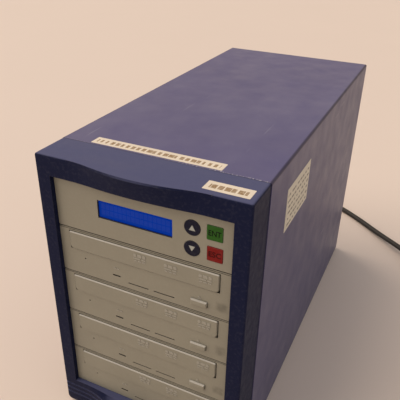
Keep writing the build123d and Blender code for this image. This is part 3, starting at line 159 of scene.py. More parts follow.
class Finish:
    """One procedural finish: a Principled shader whose inputs are built up from textures."""

    def __init__(self, name, colour, roughness, metallic=0.0, coat=0.0, specular=0.5):
        self.material = bpy.data.materials.new(name)
        self.material.use_nodes = True
        self.tree = self.material.node_tree
        self.shader = self.tree.nodes["Principled BSDF"]
        for socket, value in (("Roughness", roughness), ("Metallic", metallic),
                              ("Specular IOR Level", specular), ("Coat Weight", coat),
                              ("Coat Roughness", 0.15)):
            self.shader.inputs[socket].default_value = value
        self.place = self.add("ShaderNodeTexCoord").outputs["Object"]
        rgb = self.add("ShaderNodeRGB")
        rgb.outputs[0].default_value = (*colour, 1)
        self.colour = rgb.outputs[0]
        self.height = None

    def add(self, kind, **values):
        return add_node(self.tree, kind, **values)

    def link(self, source, target):
        """Feeds a socket from another one, or gives it a plain number."""
        if isinstance(source, (int, float)):
            target.default_value = source
        else:
            self.tree.links.new(source, target)

    def stretched(self, factors):
        """Object coordinates, multiplied by one factor for each axis if there are any."""
        if factors is None:
            return self.place
        node = self.add("ShaderNodeMapping")
        node.inputs["Scale"].default_value = factors
        self.link(self.place, node.inputs["Vector"])
        return node.outputs["Vector"]

    def noise(self, scale, detail=2.0, stretch=None):
        node = self.add("ShaderNodeTexNoise")
        node.inputs["Scale"].default_value = scale
        node.inputs["Detail"].default_value = detail
        self.link(self.stretched(stretch), node.inputs["Vector"])
        return node.outputs["Fac"]

    def cells(self, scale, feature="F1", stretch=None):
        node = self.add("ShaderNodeTexVoronoi", feature=feature)
        node.inputs["Scale"].default_value = scale
        self.link(self.stretched(stretch), node.inputs["Vector"])
        return node.outputs["Distance"]

    def axis(self, letter):
        node = self.add("ShaderNodeSeparateXYZ")
        self.link(self.place, node.inputs[0])
        return node.outputs[letter]

    def math(self, operation, a, b=0.0):
        node = self.add("ShaderNodeMath", operation=operation)
        self.link(a, node.inputs[0])
        self.link(b, node.inputs[1])
        return node.outputs[0]

    def times(self, product, *factors):
        """Product of textures and plain numbers."""
        for factor in factors:
            product = self.math("MULTIPLY", product, factor)
        return product

    def inverse(self, value):
        """1 where a texture is 0, and 0 where it is 1."""
        return self.math("SUBTRACT", 1.0, value)

    def span(self, value, low, high, to_low=0.0, to_high=1.0, smooth=False):
        """value from low to high becomes to_low to to_high, and stays there beyond."""
        node = self.add("ShaderNodeMapRange", interpolation_type="SMOOTHSTEP" if smooth else "LINEAR")
        for key, number in (("From Min", low), ("From Max", high), ("To Min", to_low),
                            ("To Max", to_high)):
            node.inputs[key].default_value = number
        self.link(value, node.inputs["Value"])
        return node.outputs["Result"]

    def uneven(self, scale, detail, low, high, to_low, to_high):
        """Noise that becomes to_low to to_high where it goes from low to high."""
        return self.span(self.noise(scale, detail), low, high, to_low, to_high)

    def within(self, letter, low, high, soft):
        """1 between two places along an axis, fading out over soft."""
        place = self.axis(letter)
        return self.times(self.span(place, low - soft, low, smooth=True),
                          self.span(place, high, high + soft, 1.0, 0.0, smooth=True))

    def window(self, plane, area, low=0.0, high=0.0, soft=print_edge):
        """1 in an area drawn in by low at its left and bottom, and by high at its right and top."""
        across, up = plane
        (left, right), (bottom, top) = area
        return self.times(self.within(across, left + low, right - high, soft),
                          self.within(up, bottom + low, top - high, soft))

    def strokes(self, along, across, row_pitch, row_height, word):
        """1 on short printed strokes of uneven length that lie in rows."""
        row = self.math("DIVIDE", across, row_pitch)
        run = self.math("DIVIDE", along, word)
        seed = self.add("ShaderNodeCombineXYZ")
        self.link(self.math("FLOOR", run), seed.inputs[0])
        self.link(self.math("FLOOR", row), seed.inputs[1])
        length = self.add("ShaderNodeTexWhiteNoise", noise_dimensions="2D")
        self.link(seed.outputs[0], length.inputs["Vector"])
        reach = self.span(length.outputs["Value"], 0.0, 1.0, 0.35, 0.92)
        inked = self.math("LESS_THAN", self.math("FRACT", run), reach)
        lined = self.math("LESS_THAN", self.math("FRACT", row), row_height / row_pitch)
        return self.times(inked, lined)

    def facing(self, letter, sign=1, low=0.6, high=0.9):
        """1 where the surface faces along an axis, 0 where it doesn't."""
        normal = self.add("ShaderNodeSeparateXYZ")
        self.link(self.add("ShaderNodeNewGeometry").outputs["True Normal"], normal.inputs[0])
        return self.span(self.times(normal.outputs[letter], float(sign)), low, high)

    def edge(self, radius):
        """1 on sharp edges within a radius, 0 on flat ground."""
        bevel = self.add("ShaderNodeBevel", samples=4)
        bevel.inputs["Radius"].default_value = radius
        dot = self.add("ShaderNodeVectorMath", operation="DOT_PRODUCT")
        self.link(bevel.outputs[0], dot.inputs[0])
        self.link(self.add("ShaderNodeNewGeometry").outputs["Normal"], dot.inputs[1])
        return self.span(dot.outputs["Value"], 0.995, 0.93)

    def tint(self, factor, colour):
        """Mixes a colour over what is there, by a factor of 0 to 1."""
        node = self.add("ShaderNodeMix", data_type="RGBA")
        self.link(factor, node.inputs[0])
        self.link(self.colour, node.inputs[6])
        node.inputs[7].default_value = (*colour, 1)
        self.colour = node.outputs[2]

    def mottle(self, colour, scale, detail, low, high, most):
        """Clouds of a colour, mixed in by up to most where the noise goes from low to high."""
        self.tint(self.uneven(scale, detail, low, high, 0.0, most), colour)

    def paint_gap_shade_and_highlight(self, face_y, colour):
        """Painted shade in the gaps behind a front face, and painted highlights on the upper edges in
        front of it.
        """
        # painted shade: the walls of the gaps behind the face are darkened
        wall = self.inverse(self.facing("Y", -1))
        deep = self.span(self.axis("Y"), face_y - 0.0003, face_y + 0.0002)
        self.tint(self.times(wall, deep, 0.85), darker(colour, 0.88))
        # painted highlight: upward-facing edges of the proud parts are lightened
        proud = self.span(self.axis("Y"), face_y - 0.0001, face_y - 0.0003)
        upper = self.facing("Z", 1, 0.25, 0.55)
        self.tint(self.times(proud, upper, 0.75), lighter(colour, 0.42))

    def raise_by(self, amount, height):
        """Adds amount times a texture, in metres, to the surface's height."""
        part = self.times(height, amount)
        self.height = part if self.height is None else self.math("ADD", self.height, part)

    def glow(self, factor, colour, strength):
        """Lets a part of the surface shine by itself."""
        lit = self.add("ShaderNodeMix", data_type="RGBA")
        self.link(factor, lit.inputs[0])
        lit.inputs[6].default_value = (0, 0, 0, 1)
        lit.inputs[7].default_value = (*colour, 1)
        self.link(lit.outputs[2], self.shader.inputs["Emission Color"])
        self.shader.inputs["Emission Strength"].default_value = strength

    def done(self, roughness=None, edge_radius=0.0004):
        """Links what was built to the shader, with softened edges, and gives the material."""
        bump = self.add("ShaderNodeBump")
        bump.inputs["Distance"].default_value = 1.0
        if self.height is not None:
            self.link(self.height, bump.inputs["Height"])
        if edge_radius:
            bevel = self.add("ShaderNodeBevel", samples=4)
            bevel.inputs["Radius"].default_value = edge_radius
            self.link(bevel.outputs[0], bump.inputs["Normal"])
        self.link(bump.outputs[0], self.shader.inputs["Normal"])
        self.link(self.colour, self.shader.inputs["Base Color"])
        if roughness is not None:
            self.link(roughness, self.shader.inputs["Roughness"])
        return self.material


def dress(material, *names):
    """Gives CAD nodes one material."""
    for name in names:
        slots = nodes[name].data.materials
        slots.clear()
        slots.append(material)


def lighter(colour, share):
    """Goes a share of the way from a colour to white."""
    return tuple(c + (1 - c) * share for c in colour)


def darker(colour, share):
    """Goes a share of the way from a colour to black."""
    return tuple(c * (1 - share) for c in colour)


def moulding(name, colour, roughness=0.45, grain=2600.0, depth=0.000012, wear=0.10, **shader):
    """Moulded plastic to be added to: fine spark texture, slight clouding and rubbed edges.

    Gives the finish and the roughness that it is to be done with.
    """
    finish = Finish(name, colour, roughness, **shader)
    finish.mottle(darker(colour, 0.14), 38.0, 4.0, 0.35, 0.75, 0.45)
    finish.mottle(lighter(colour, 0.05), 420.0, 2.0, 0.5, 0.8, 0.30)
    finish.tint(finish.times(finish.edge(0.0007), wear * 3), lighter(colour, 0.22))
    finish.raise_by(depth, finish.noise(grain, 3.0))
    rough = finish.uneven(160.0, 3.0, 0.3, 0.7, roughness - 0.05, roughness + 0.07)
    return finish, rough


def moulded(*values, **keys):
    """Material of plain moulded plastic."""
    finish, rough = moulding(*values, **keys)
    return finish.done(rough)


def plated(name, colour, roughness=0.36, along=(1.0, 1.0, 1.0)):
    """Zinc-plated sheet: rolling streaks, faint spangle and dull spots."""
    finish = Finish(name, colour, roughness, metallic=1.0)
    streak = finish.noise(700.0, 3.0, stretch=along)
    finish.tint(finish.span(streak, 0.35, 0.7, 0.0, 0.5), darker(colour, 0.18))
    finish.tint(finish.span(finish.cells(90.0), 0.1, 0.6, 0.0, 0.35), lighter(colour, 0.12))
    finish.mottle(darker(colour, 0.30), 24.0, 5.0, 0.55, 0.8, 0.35)
    finish.raise_by(0.000006, streak)
    rough = finish.uneven(60.0, 4.0, 0.3, 0.75, roughness - 0.07, roughness + 0.16)
    return finish.done(rough, edge_radius=0.0003)


def printed(name, paper, ink, plane, area, margin, row_pitch, row_height, word):
    """Label stock with rows of plain strokes, kept inside the margin of its area."""
    finish = Finish(name, paper, 0.55, specular=0.3)
    finish.mottle(darker(paper, 0.16), 60.0, 4.0, 0.4, 0.8, 0.5)
    field = finish.window(plane, area, margin, margin)
    across, up = plane
    first_row = area[1][0] + margin
    lines = finish.strokes(finish.axis(across), finish.math("SUBTRACT", finish.axis(up), first_row),
                           row_pitch, row_height, word)
    worn = finish.uneven(900.0, 2.0, 0.3, 0.6, 0.55, 0.95)
    finish.tint(finish.times(field, lines, worn), ink)
    finish.raise_by(0.000008, finish.noise(1800.0, 3.0))
    return finish.done(edge_radius=0.0)


# ------------------------------------------------------------------ meshes

directions = {"X": Vector((1, 0, 0)), "Y": Vector((0, 1, 0)), "Z": Vector((0, 0, 1))}
FRONT = ("X", "Z")            # axes that run across and up each plane
TOP = ("X", "Y")
RIGHT = ("Y", "Z")


def rounded(width, height, radius, steps, centre):
    """Outline of a rectangle with round corners, anticlockwise."""
    points = []
    for turn, (sx, sy) in enumerate(((1, 1), (-1, 1), (-1, -1), (1, -1))):
        cx = centre[0] + sx * (width / 2 - radius)
        cy = centre[1] + sy * (height / 2 - radius)
        for step in range(steps + 1):
            angle = pi / 2 * (turn + step / steps)
            points.append((cx + radius * cos(angle), cy + radius * sin(angle)))
    return points


def plate(name, outlines, origin, plane, thickness, material, body):
    """Flat shapes raised from a plane by a thickness, as one piece."""
    across, up = (directions[letter] for letter in plane)
    normal = across.cross(up)
    shape = bmesh.new()
    for outline in outlines:
        low = [shape.verts.new(Vector(origin) + across * u + up * v) for u, v in outline]
        face = shape.faces.new(low)
        raised = bmesh.ops.extrude_face_region(shape, geom=[face])["geom"]
        verts = [item for item in raised if isinstance(item, bmesh.types.BMVert)]
        bmesh.ops.translate(shape, verts=verts, vec=normal * thickness)
    bmesh.ops.recalc_face_normals(shape, faces=shape.faces)
    mesh = bpy.data.meshes.new(name)
    shape.to_mesh(mesh)
    shape.free()
    placed(name, mesh, material, body)


def placed(name, mesh, material, body):
    """Puts a mesh into the scene as a piece that rides on a body."""
    mesh.materials.append(material)
    piece = bpy.data.objects.new(name, mesh)
    bpy.context.collection.objects.link(piece)
    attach(piece, body)


def sticker(name, area, level, plane, paper, ink, margin, row_height, word, row_pitch=None):
    """Thin label on a face of the case, with one row of strokes, or rows at a pitch."""
    (left, right), (bottom, top) = area
    material = printed(f"{name}_print", paper, ink, plane, area, margin, row_pitch or top - bottom,
                       row_height, word)
    outline = rounded(right - left, top - bottom, sticker_corner, 2,
                      ((left + right) / 2, (bottom + top) / 2))
    across, up = (directions[letter] for letter in plane)
    plate(name, [outline], across.cross(up) * level, plane, sticker_thickness, material, "case")


# ------------------------------------------------------------------ operators

class TowerOperator:
    """What all steps share"""
    bl_options = {"REGISTER"}


class TOWER_OT_cord(TowerOperator, bpy.types.Operator):
    """Lay the mains lead from its connector to the stored coil and the plug"""
    bl_idname = "tower.cord"
    bl_label = "Mains lead"

    route = ((-0.047, 0.2491, 0.030), (-0.047, 0.2751, 0.030), (-0.034, 0.306, 0.018),
             (-0.004, 0.330, 0.0046), (0.038, 0.330, 0.0035), (0.077, 0.306, 0.0035),
             (0.106, 0.285, 0.0035), (0.139, 0.254, 0.0054))
    entry = Vector((0.212, 0.181, 0.0113))     # start of the coil's outermost turn
    entry_run = 0.046                          # straight stretch before it
    start_angle = radians(225.0)
    step_down = 0.5                            # turns from the upper layer to the lower one
    points_per_turn = 24
    # from the coil's end to the plug, ahead and up
    plug_run = ((0.010, 0.0006), (0.020, 0.0059), (0.028, 0.0065), (0.035, 0.0065))
    plug_reach = 0.061                         # strain relief and grip, up to the plug's face

    def coil_point(self, cord, turn):
        """Place of the coil's axis after so many turns, and its heading."""
        outer = cord.inner_radius + cord.turns * cord.pitch
        centre = self.entry - Vector((cos(self.start_angle), sin(self.start_angle), 0)) * outer
        low = cord.diameter / 2
        lower_start = cord.turns + self.step_down
        if turn <= cord.turns:
            radius = outer - turn * cord.pitch
            height = low + cord.pitch
        elif turn < lower_start:
            radius = cord.inner_radius
            height = low + cord.pitch * (lower_start - turn) / self.step_down
        else:
            radius = cord.inner_radius + (turn - lower_start) * cord.pitch
            height = low
        angle = self.start_angle + 2 * pi * turn
        place = Vector((centre.x + radius * cos(angle), centre.y + radius * sin(angle), height))
        return place, Vector((-sin(angle), cos(angle), 0))

    def centre_line(self, cord):
        """Points along the lead's axis, the place where the plug starts, and its heading."""
        entry, heading = self.coil_point(cord, 0)
        points = [Vector(place) for place in self.route]
        points.append(entry - heading * (cord.diameter + self.entry_run))
        points.append(entry - heading * cord.diameter)
        last = 2 * cord.turns + self.step_down
        steps = round(last * self.points_per_turn)
        points += [self.coil_point(cord, last * step / steps)[0] for step in range(steps + 1)]
        end, heading = self.coil_point(cord, last)
        for ahead, up in self.plug_run:
            points.append(end + heading * ahead + Vector((0, 0, up)))
        return points, end + heading * self.plug_run[-1][0], heading

    def sheath_finish(self, colours):
        """Dull black sheath of the lead."""
        sheath = Finish("lead_sheath", darker(colours.black, 0.3), 0.46, specular=0.3)
        sheath.mottle(lighter(colours.black, 0.02), 90.0, 4.0, 0.45, 0.75, 0.5)
        sheath.raise_by(0.00003, sheath.noise(900.0, 2.0))
        return sheath.done(sheath.uneven(300.0, 2.0, 0.3, 0.7, 0.36, 0.52), edge_radius=0.0)

    def end_finishes(self, colours, start, heading):
        """Black mouldings of the lead's two ends, with brass pins past the plug's face."""
        dress(moulded("connector_moulding", colours.black, 0.48, grain=1500.0, depth=0.00002),
              "power_connector")
        finish = moulding("plug_moulding", colours.black, 0.48, grain=1500.0, depth=0.00002)[0]
        ahead = finish.add("ShaderNodeVectorMath", operation="DOT_PRODUCT")
        finish.link(finish.place, ahead.inputs[0])
        ahead.inputs[1].default_value = heading
        face = start.dot(heading) + self.plug_reach
        pins = finish.span(ahead.outputs["Value"], face - 0.0002, face + 0.0002)
        finish.tint(pins, colours.pin_brass)
        finish.link(pins, finish.shader.inputs["Metallic"])
        dress(finish.done(finish.span(pins, 0.0, 1.0, 0.48, 0.25)), "power_plug")

    def execute(self, context):
        cord = context.scene.tower_cord
        colours = context.scene.tower_finish
        points, plug_start, heading = self.centre_line(cord)
        curve = bpy.data.curves.new("mains_lead", "CURVE")
        curve.dimensions = "3D"
        curve.bevel_depth = cord.diameter / 2
        curve.bevel_resolution = 5
        curve.resolution_u = 6
        curve.use_fill_caps = True
        spline = curve.splines.new("NURBS")
        spline.points.add(len(points) - 1)
        for point, place in zip(spline.points, points):
            point.co = (*place, 1.0)
        spline.order_u = 3
        spline.use_endpoint_u = True
        curve.materials.append(self.sheath_finish(colours))
        self.end_finishes(colours, plug_start, heading)
        lead = bpy.data.objects.new("mains_lead", curve)
        context.collection.objects.link(lead)
        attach(lead, "case")
        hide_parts("power_cord", "power_cord_coil")
        return {"FINISHED"}


class TOWER_OT_cover(TowerOperator, bpy.types.Operator):
    """Finish the steel cover's powder coat, and lay its tape and its paper label on it"""
    bl_idname = "tower.cover"
    bl_label = "Outer cover"

    tape = ((-0.0614, 0.0495), (-0.1516, -0.1401))     # across and along the cover's top
    label = ((-0.1096, -0.0436), (0.198, 0.237))       # along the right side and up it
    fold = 0.0024                                      # width of the painted dark reflection along the cover's folds

    def powder_coat(self, colours, low, high):
        """Navy powder coat with smudges, dust and scratches, and painted reflections on its sides and
        along its folds; low and high are the cover's box.
        """
        navy = colours.cover_navy
        coat = Finish("cover_powder_coat", navy, 0.40, specular=0.4)
        coat.mottle(darker(navy, 0.14), 14.0, 5.0, 0.35, 0.75, 0.5)
        sides = coat.math("MAXIMUM", coat.facing("X"), coat.facing("X", -1))
        top = coat.facing("Z")
        # painted reflection: the sides tinted greyer, as if mirroring the floor
        coat.tint(coat.times(sides, 0.35), colours.cover_side_reflection)
        # paler streaks on the sides: smudges, and painted reflection of the floor
        smudge_and_reflection = coat.span(coat.noise(13.0, 4.0, stretch=(1, 3, 0.8)), 0.50, 0.78)
        coat.tint(coat.times(sides, smudge_and_reflection, 0.28), lighter(darker(navy, 0.1), 0.10))
        wiped = coat.span(coat.noise(9.0, 4.0, stretch=(2.5, 1, 1)), 0.48, 0.75)
        coat.tint(coat.times(top, wiped, 0.25), lighter(navy, 0.12))
        # dust caught along the seam to the bezel, thicker towards the right
        seam = coat.within("Y", low.y - 0.001, low.y + 0.0006, 0.0012)
        thicker = coat.span(coat.axis("X"), -0.02, 0.06, 0.1, 1.0)
        flecks = coat.span(coat.noise(700.0, 2.0), 0.50, 0.66)
        coat.tint(coat.times(seam, thicker, top, flecks, 0.9), lighter(navy, 0.60))
        dust = coat.span(coat.cells(210.0), 0.09, 0.03)
        coat.tint(coat.times(dust, coat.times(top, 0.22)), lighter(navy, 0.40))
        scratch = coat.span(coat.noise(260.0, 2.0, stretch=(1, 0.04, 0.3)), 0.735, 0.755)
        coat.tint(coat.times(scratch, 0.25), lighter(navy, 0.25))
        # painted dark reflection along the folds between the top and the two sides
        above = coat.span(coat.axis("Z"), high.z - self.fold, high.z - self.fold / 2)
        beside = coat.span(coat.math("ABSOLUTE", coat.axis("X")), high.x - self.fold,
                           high.x - self.fold / 2)
        coat.tint(coat.times(above, beside, 0.95), colours.cover_fold_reflection)
        coat.raise_by(0.00002, coat.noise(620.0, 2.0))
        return coat.done(coat.uneven(46.0, 4.0, 0.3, 0.75, 0.36, 0.50), edge_radius=0.0006)

    def execute(self, context):
        colours = context.scene.tower_finish
        low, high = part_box("outer_cover")
        dress(self.powder_coat(colours, low, high), "outer_cover")
        sticker("cover_tape", self.tape, high.z, TOP, colours.tape_cream,
                colours.tape_ink, margin=0.003, row_height=0.0050, word=0.0046)
        sticker("side_label", self.label, high.x, RIGHT, colours.label_grey,
                colours.label_ink, margin=0.003, row_height=0.0019, word=0.0074, row_pitch=0.0056)
        return {"FINISHED"}


class TOWER_OT_bezel(TowerOperator, bpy.types.Operator):
    """Finish the moulded front bezel and lay its tape on it"""
    bl_idname = "tower.bezel"
    bl_label = "Front bezel"

    tape = ((0.048, 0.082), (-0.1818, -0.1690))        # across and along the bezel's top

    def execute(self, context):
        colours = context.scene.tower_finish
        navy = colours.bezel_navy
        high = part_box("front_bezel")[1]
        finish, rough = moulding("bezel_moulding", navy, 0.40, grain=1500.0, depth=0.00002,
                                 wear=0.03, specular=0.06)
        # painted light: faces that look up are tinted paler
        top = finish.facing("Z")
        finish.tint(finish.times(top, 0.85), colours.bezel_top_light)
        # painted shade: a dark band along the bezel's back edge, in the seam to the cover
        seam = finish.within("Y", high.y - 0.0005, high.y + 0.001, 0.0003)
        finish.tint(finish.times(seam, 0.7), darker(navy, 0.8))
        scuff = finish.span(finish.noise(22.0, 5.0, stretch=(1, 2, 1)), 0.45, 0.75)
        finish.tint(finish.times(top, scuff, 0.30), colours.bezel_scuff)
        # edges paled by rubbed wear and by a painted highlight, stronger towards the right
        rubbed = finish.span(finish.noise(260.0, 3.0), 0.50, 0.62)
        highlight_to_right = finish.span(finish.axis("X"), 0.0, 0.08, 0.05, 0.5)
        finish.tint(finish.times(finish.edge(0.0008), rubbed, highlight_to_right), lighter(navy, 0.25))
        dress(finish.done(rough, edge_radius=0.0005), "front_bezel")
        sticker("bezel_tape", self.tape, high.z, TOP, colours.tape_cream,
                colours.tape_ink, margin=0.0032, row_height=0.0055, word=0.0048)
        return {"FINISHED"}


class TOWER_OT_drives(TowerOperator, bpy.types.Operator):
    """Finish the four disc drives and put the small raised marks on their doors and faces"""
    bl_idname = "tower.drives"
    bl_label = "Disc drives"

    relief = 0.00030
    # middle of each group of door marks: from the drive's middle and the bay's floor
    door_marks = ((-0.0003, 0.0334), (0.0258, 0.0324), (0.0540, 0.0328))
    # rows of bars in a group: above its middle, widths, height and gap
    mark_rows = ((0.0019, (0.0026, 0.0038, 0.0026), 0.0026, 0.0007),
                 (-0.0008, (0.0060, 0.0036), 0.0011, 0.0008),
                 (-0.0029, (0.0024, 0.0030, 0.0024), 0.0011, 0.0008))
    lamp_mark = (-0.0225, 0.0163)
    eject_mark = (0.0490, 0.0136)
    # grime beside the eject buttons: where it is full across and how far it fades, and the
    # heights in a bay at which it starts, is full, starts to fade and ends
    grime_across = (0.0645, 0.0700, 0.0035)
    grime_up = (0.004, 0.0085, 0.012, 0.0165)

    def bars(self, centre, widths, height, gap):
        """Outlines of bars in a row, with a small gap between them."""
        outlines = []
        left = centre[0] - (sum(widths) + gap * (len(widths) - 1)) / 2
        for width in widths:
            outlines.append(rounded(width, height, height * 0.3, 3, (left + width / 2, centre[1])))
            left += width + gap
        return outlines

    def marks(self, number, finish):
        """Raised marks of one drive: three plain groups on the door, one by the lamp, one for eject."""
        low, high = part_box(f"drive_bezel_{number}")
        floor = (low.z + high.z) / 2 - bay_pitch / 2
        door_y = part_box(f"tray_door_{number}")[0].y
        groups = []
        for x, z in self.door_marks:
            for rise, widths, height, gap in self.mark_rows:
                groups += self.bars((x, z + rise), widths, height, gap)
        plate(f"door_marks_{number}", groups, (0, door_y, floor), FRONT, self.relief, finish,
              f"tray_{number}")
        lamp = self.bars(self.lamp_mark, (0.0022, 0.0022), 0.0012, 0.0007)
        x, z = self.eject_mark
        eject = [((x - 0.0014, z), (x + 0.0014, z), (x, z + 0.0016))]
        eject += self.bars((x, z - 0.0009), (0.0028,), 0.0006, 0.0)
        plate(f"face_marks_{number}", lamp + eject, (0, low.y, floor), FRONT, self.relief, finish,
              "case")

    def face_finish(self, colours):
        """Moulded face of a drive, with grime beside each eject button."""
        beige = colours.face_beige
        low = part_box("drive_bezel_4")[0]
        finish, rough = moulding("drive_face", beige, 0.42, grain=2800.0, depth=0.00001,
                                 wear=0.06, specular=0.4)
        height = finish.math("MODULO", finish.math("SUBTRACT", finish.axis("Z"), low.z), bay_pitch)
        start, full, fading, end = self.grime_up
        spot = finish.times(finish.span(height, start, full, smooth=True),
                            finish.span(height, fading, end, 1.0, 0.0, smooth=True))
        beside = finish.times(finish.within("X", *self.grime_across), spot)
        patchy = finish.uneven(170.0, 4.0, 0.35, 0.65, 0.1, 0.75)
        finish.tint(finish.times(beside, patchy), darker(beige, 0.5))
        # painted shade in the gaps round doors and buttons, painted highlights on their upper edges
        finish.paint_gap_shade_and_highlight(low.y, beige)
        return finish.done(rough)

    def execute(self, context):
        colours = context.scene.tower_finish
        face = self.face_finish(colours)
        raised = moulded("raised_mark", lighter(colours.face_beige, 0.10), 0.38, grain=2800.0,
                         depth=0.000006)
        tray = moulded("tray_moulding", lighter(colours.black, 0.03), 0.50, grain=1800.0,
                       depth=0.00003)
        works = moulded("loader_moulding", lighter(colours.black, 0.07), 0.5)
        lamp = moulded("lamp_guide", colours.lamp_guide, 0.22, depth=0.000002, coat=0.5)
        housing = plated("housing_plate", colours.zinc, 0.34, along=(0.1, 1.0, 1.0))
        for number in drives:
            dress(face, f"drive_bezel_{number}", f"tray_door_{number}", f"eject_button_{number}")
            dress(tray, f"tray_{number}")
            dress(works, f"loader_{number}", f"turntable_{number}")
            dress(housing, f"drive_housing_{number}")
            self.marks(number, raised)
        dress(lamp, "drive_lights")
        return {"FINISHED"}


class TOWER_OT_panel(TowerOperator, bpy.types.Operator):
    """Finish the control panel, its keys and its display, and print the keys' legends"""
    bl_idname = "tower.panel"
    bl_label = "Control panel"

    print_thickness = 0.00008
    legend_size = (0.0094, 0.0044)
    arrow_size = (0.0050, 0.0044)
    display_window = ((-0.036, 0.027), (0.2183, 0.2335))     # lit glass, across and up
    display_rim_shade = (0.0012, 0.0003, 0.0008)    # painted shade along the glass's rim: widths at left and low, at right and high, and fading
    display_board = 0.0055                    # from the display's front back to its green board
    character_grid = (16, 2)
    character_margin = 0.0024

    def key_front(self, key):
        """Middle of a key's front face."""
        low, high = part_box(f"key_{key}")
        return Vector(((low.x + high.x) / 2, low.y, (low.z + high.z) / 2))

    def legend(self, key, text, material, slot):
        """Short word printed on a key's front."""
        curve = bpy.data.curves.new(f"legend_{key}", "FONT")
        curve.body = text
        curve.resolution_u = 4
        curve.offset = 0.012      # bolder letters
        curve.extrude = self.print_thickness / 2
        letters = bpy.data.objects.new(f"legend_{key}", curve)
        mesh = bpy.data.meshes.new_from_object(letters)
        bpy.data.objects.remove(letters)
        places = [vert.co for vert in mesh.vertices]
        low = Vector([min(place[i] for place in places) for i in range(3)])
        high = Vector([max(place[i] for place in places) for i in range(3)])
        middle = (low + high) / 2
        front = self.key_front(key)
        for vert in mesh.vertices:
            offset = vert.co - middle
            across = offset.x * self.legend_size[0] / (high.x - low.x)
            up = offset.y * self.legend_size[1] / (high.y - low.y)
            vert.co = front + Vector((across, -offset.z - self.print_thickness / 2, up))
        placed(f"legend_{key}", mesh, material, f"key_{key}")

    def arrow(self, key, sign, material):
        """Triangle printed on a round key; sign 1 points up."""
        width, height = self.arrow_size
        outline = ((-width / 2, -sign * height / 2), (width / 2, -sign * height / 2),
                   (0.0, sign * height / 2))
        plate(f"arrow_{key}", [outline[::sign]], self.key_front(key), FRONT, self.print_thickness,
              material, f"key_{key}")

    def characters(self, finish, letter, ends, count):
        """1 on the characters along one axis of the display, 0 in the gaps between them."""
        low, high = ends
        pitch = (high - low - 2 * self.character_margin) / count
        start = finish.math("SUBTRACT", finish.axis(letter), low + self.character_margin)
        return finish.span(finish.math("FRACT", finish.math("DIVIDE", start, pitch)), 0.10, 0.16)

    def display_finish(self, colours):
        """Lit blue glass with faint character cells, in a black frame on a green board."""
        blue = colours.display_blue
        board_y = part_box("display")[0].y + self.display_board
        finish = Finish("display_module", colours.display_frame, 0.28, specular=0.03)
        finish.tint(finish.span(finish.axis("Y"), board_y, board_y + 0.0002), colours.board_green)
        glass = finish.times(finish.window(FRONT, self.display_window), finish.facing("Y", -1))
        finish.tint(glass, blue)
        grid = zip(FRONT, self.display_window, self.character_grid)
        cell = finish.times(*(self.characters(finish, *line) for line in grid))
        field = finish.window(FRONT, self.display_window, self.character_margin,
                              self.character_margin)
        finish.tint(finish.times(cell, field, 0.10), lighter(blue, 0.12))
        # painted shade: the glass darker and less lit along the frame's edge
        rim_shade = finish.inverse(finish.window(FRONT, self.display_window, *self.display_rim_shade))
        finish.tint(finish.times(rim_shade, glass, 0.6), darker(blue, 0.7))
        inner = finish.times(glass, finish.inverse(finish.times(rim_shade, 0.7)))
        finish.glow(finish.times(inner, finish.uneven(30.0, 2.0, 0.3, 0.7, 0.75, 1.0)), blue, 0.50)
        finish.raise_by(0.000002, finish.noise(900.0, 2.0))
        return finish.done(finish.uneven(120.0, 3.0, 0.3, 0.7, 0.20, 0.34), edge_radius=0.0)

    def execute(self, context):
        colours = context.scene.tower_finish
        panel, rough = moulding("panel_moulding", colours.face_beige, 0.40, grain=2800.0,
                                depth=0.00001, wear=0.06, specular=0.4)
        # painted shade in the gaps round the panel, painted highlights on its upper edges
        panel.paint_gap_shade_and_highlight(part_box("control_panel")[0].y, colours.face_beige)
        dress(panel.done(rough), "control_panel")
        dress(moulded("arrow_key", colours.key_navy, 0.38, wear=0.03, specular=0.15),
              "key_up", "key_down")
        dress(moulded("enter_key", colours.key_green, 0.38, wear=0.05, specular=0.12), "key_enter")
        dress(moulded("escape_key", colours.key_red, 0.38, wear=0.05, specular=0.12), "key_escape")
        dress(self.display_finish(colours), "display")
        arrows = moulded("arrow_print", colours.arrow_grey, 0.5, wear=0.0)
        self.arrow("up", 1, arrows)
        self.arrow("down", -1, arrows)
        for key, text, ink, slot in (("enter", "ENT", colours.legend_green, "key_green"),
                                     ("escape", "ESC", colours.legend_red, "key_red")):
            self.legend(key, text, moulded(f"{key}_print", ink, 0.5, wear=0.0, specular=0.1), slot)
        return {"FINISHED"}


class TOWER_OT_chassis(TowerOperator, bpy.types.Operator):
    """Finish the chassis, the rear panel, the cage, the screws and the feet"""
    bl_idname = "tower.chassis"
    bl_label = "Chassis"

    def execute(self, context):
        colours = context.scene.tower_finish
        dress(plated("chassis_plate", colours.zinc, 0.36, along=(1.0, 0.1, 1.0)), "chassis_base",
              "front_frame", "rear_panel", "drive_cage", "controller_bracket")
        dress(plated("screw_plate", lighter(colours.zinc, 0.2), 0.22), "rear_screws", "fan_guard")
        dress(moulded("foot_rubber", colours.black, 0.8, grain=900.0, depth=0.00003), "rubber_feet")
        return {"FINISHED"}


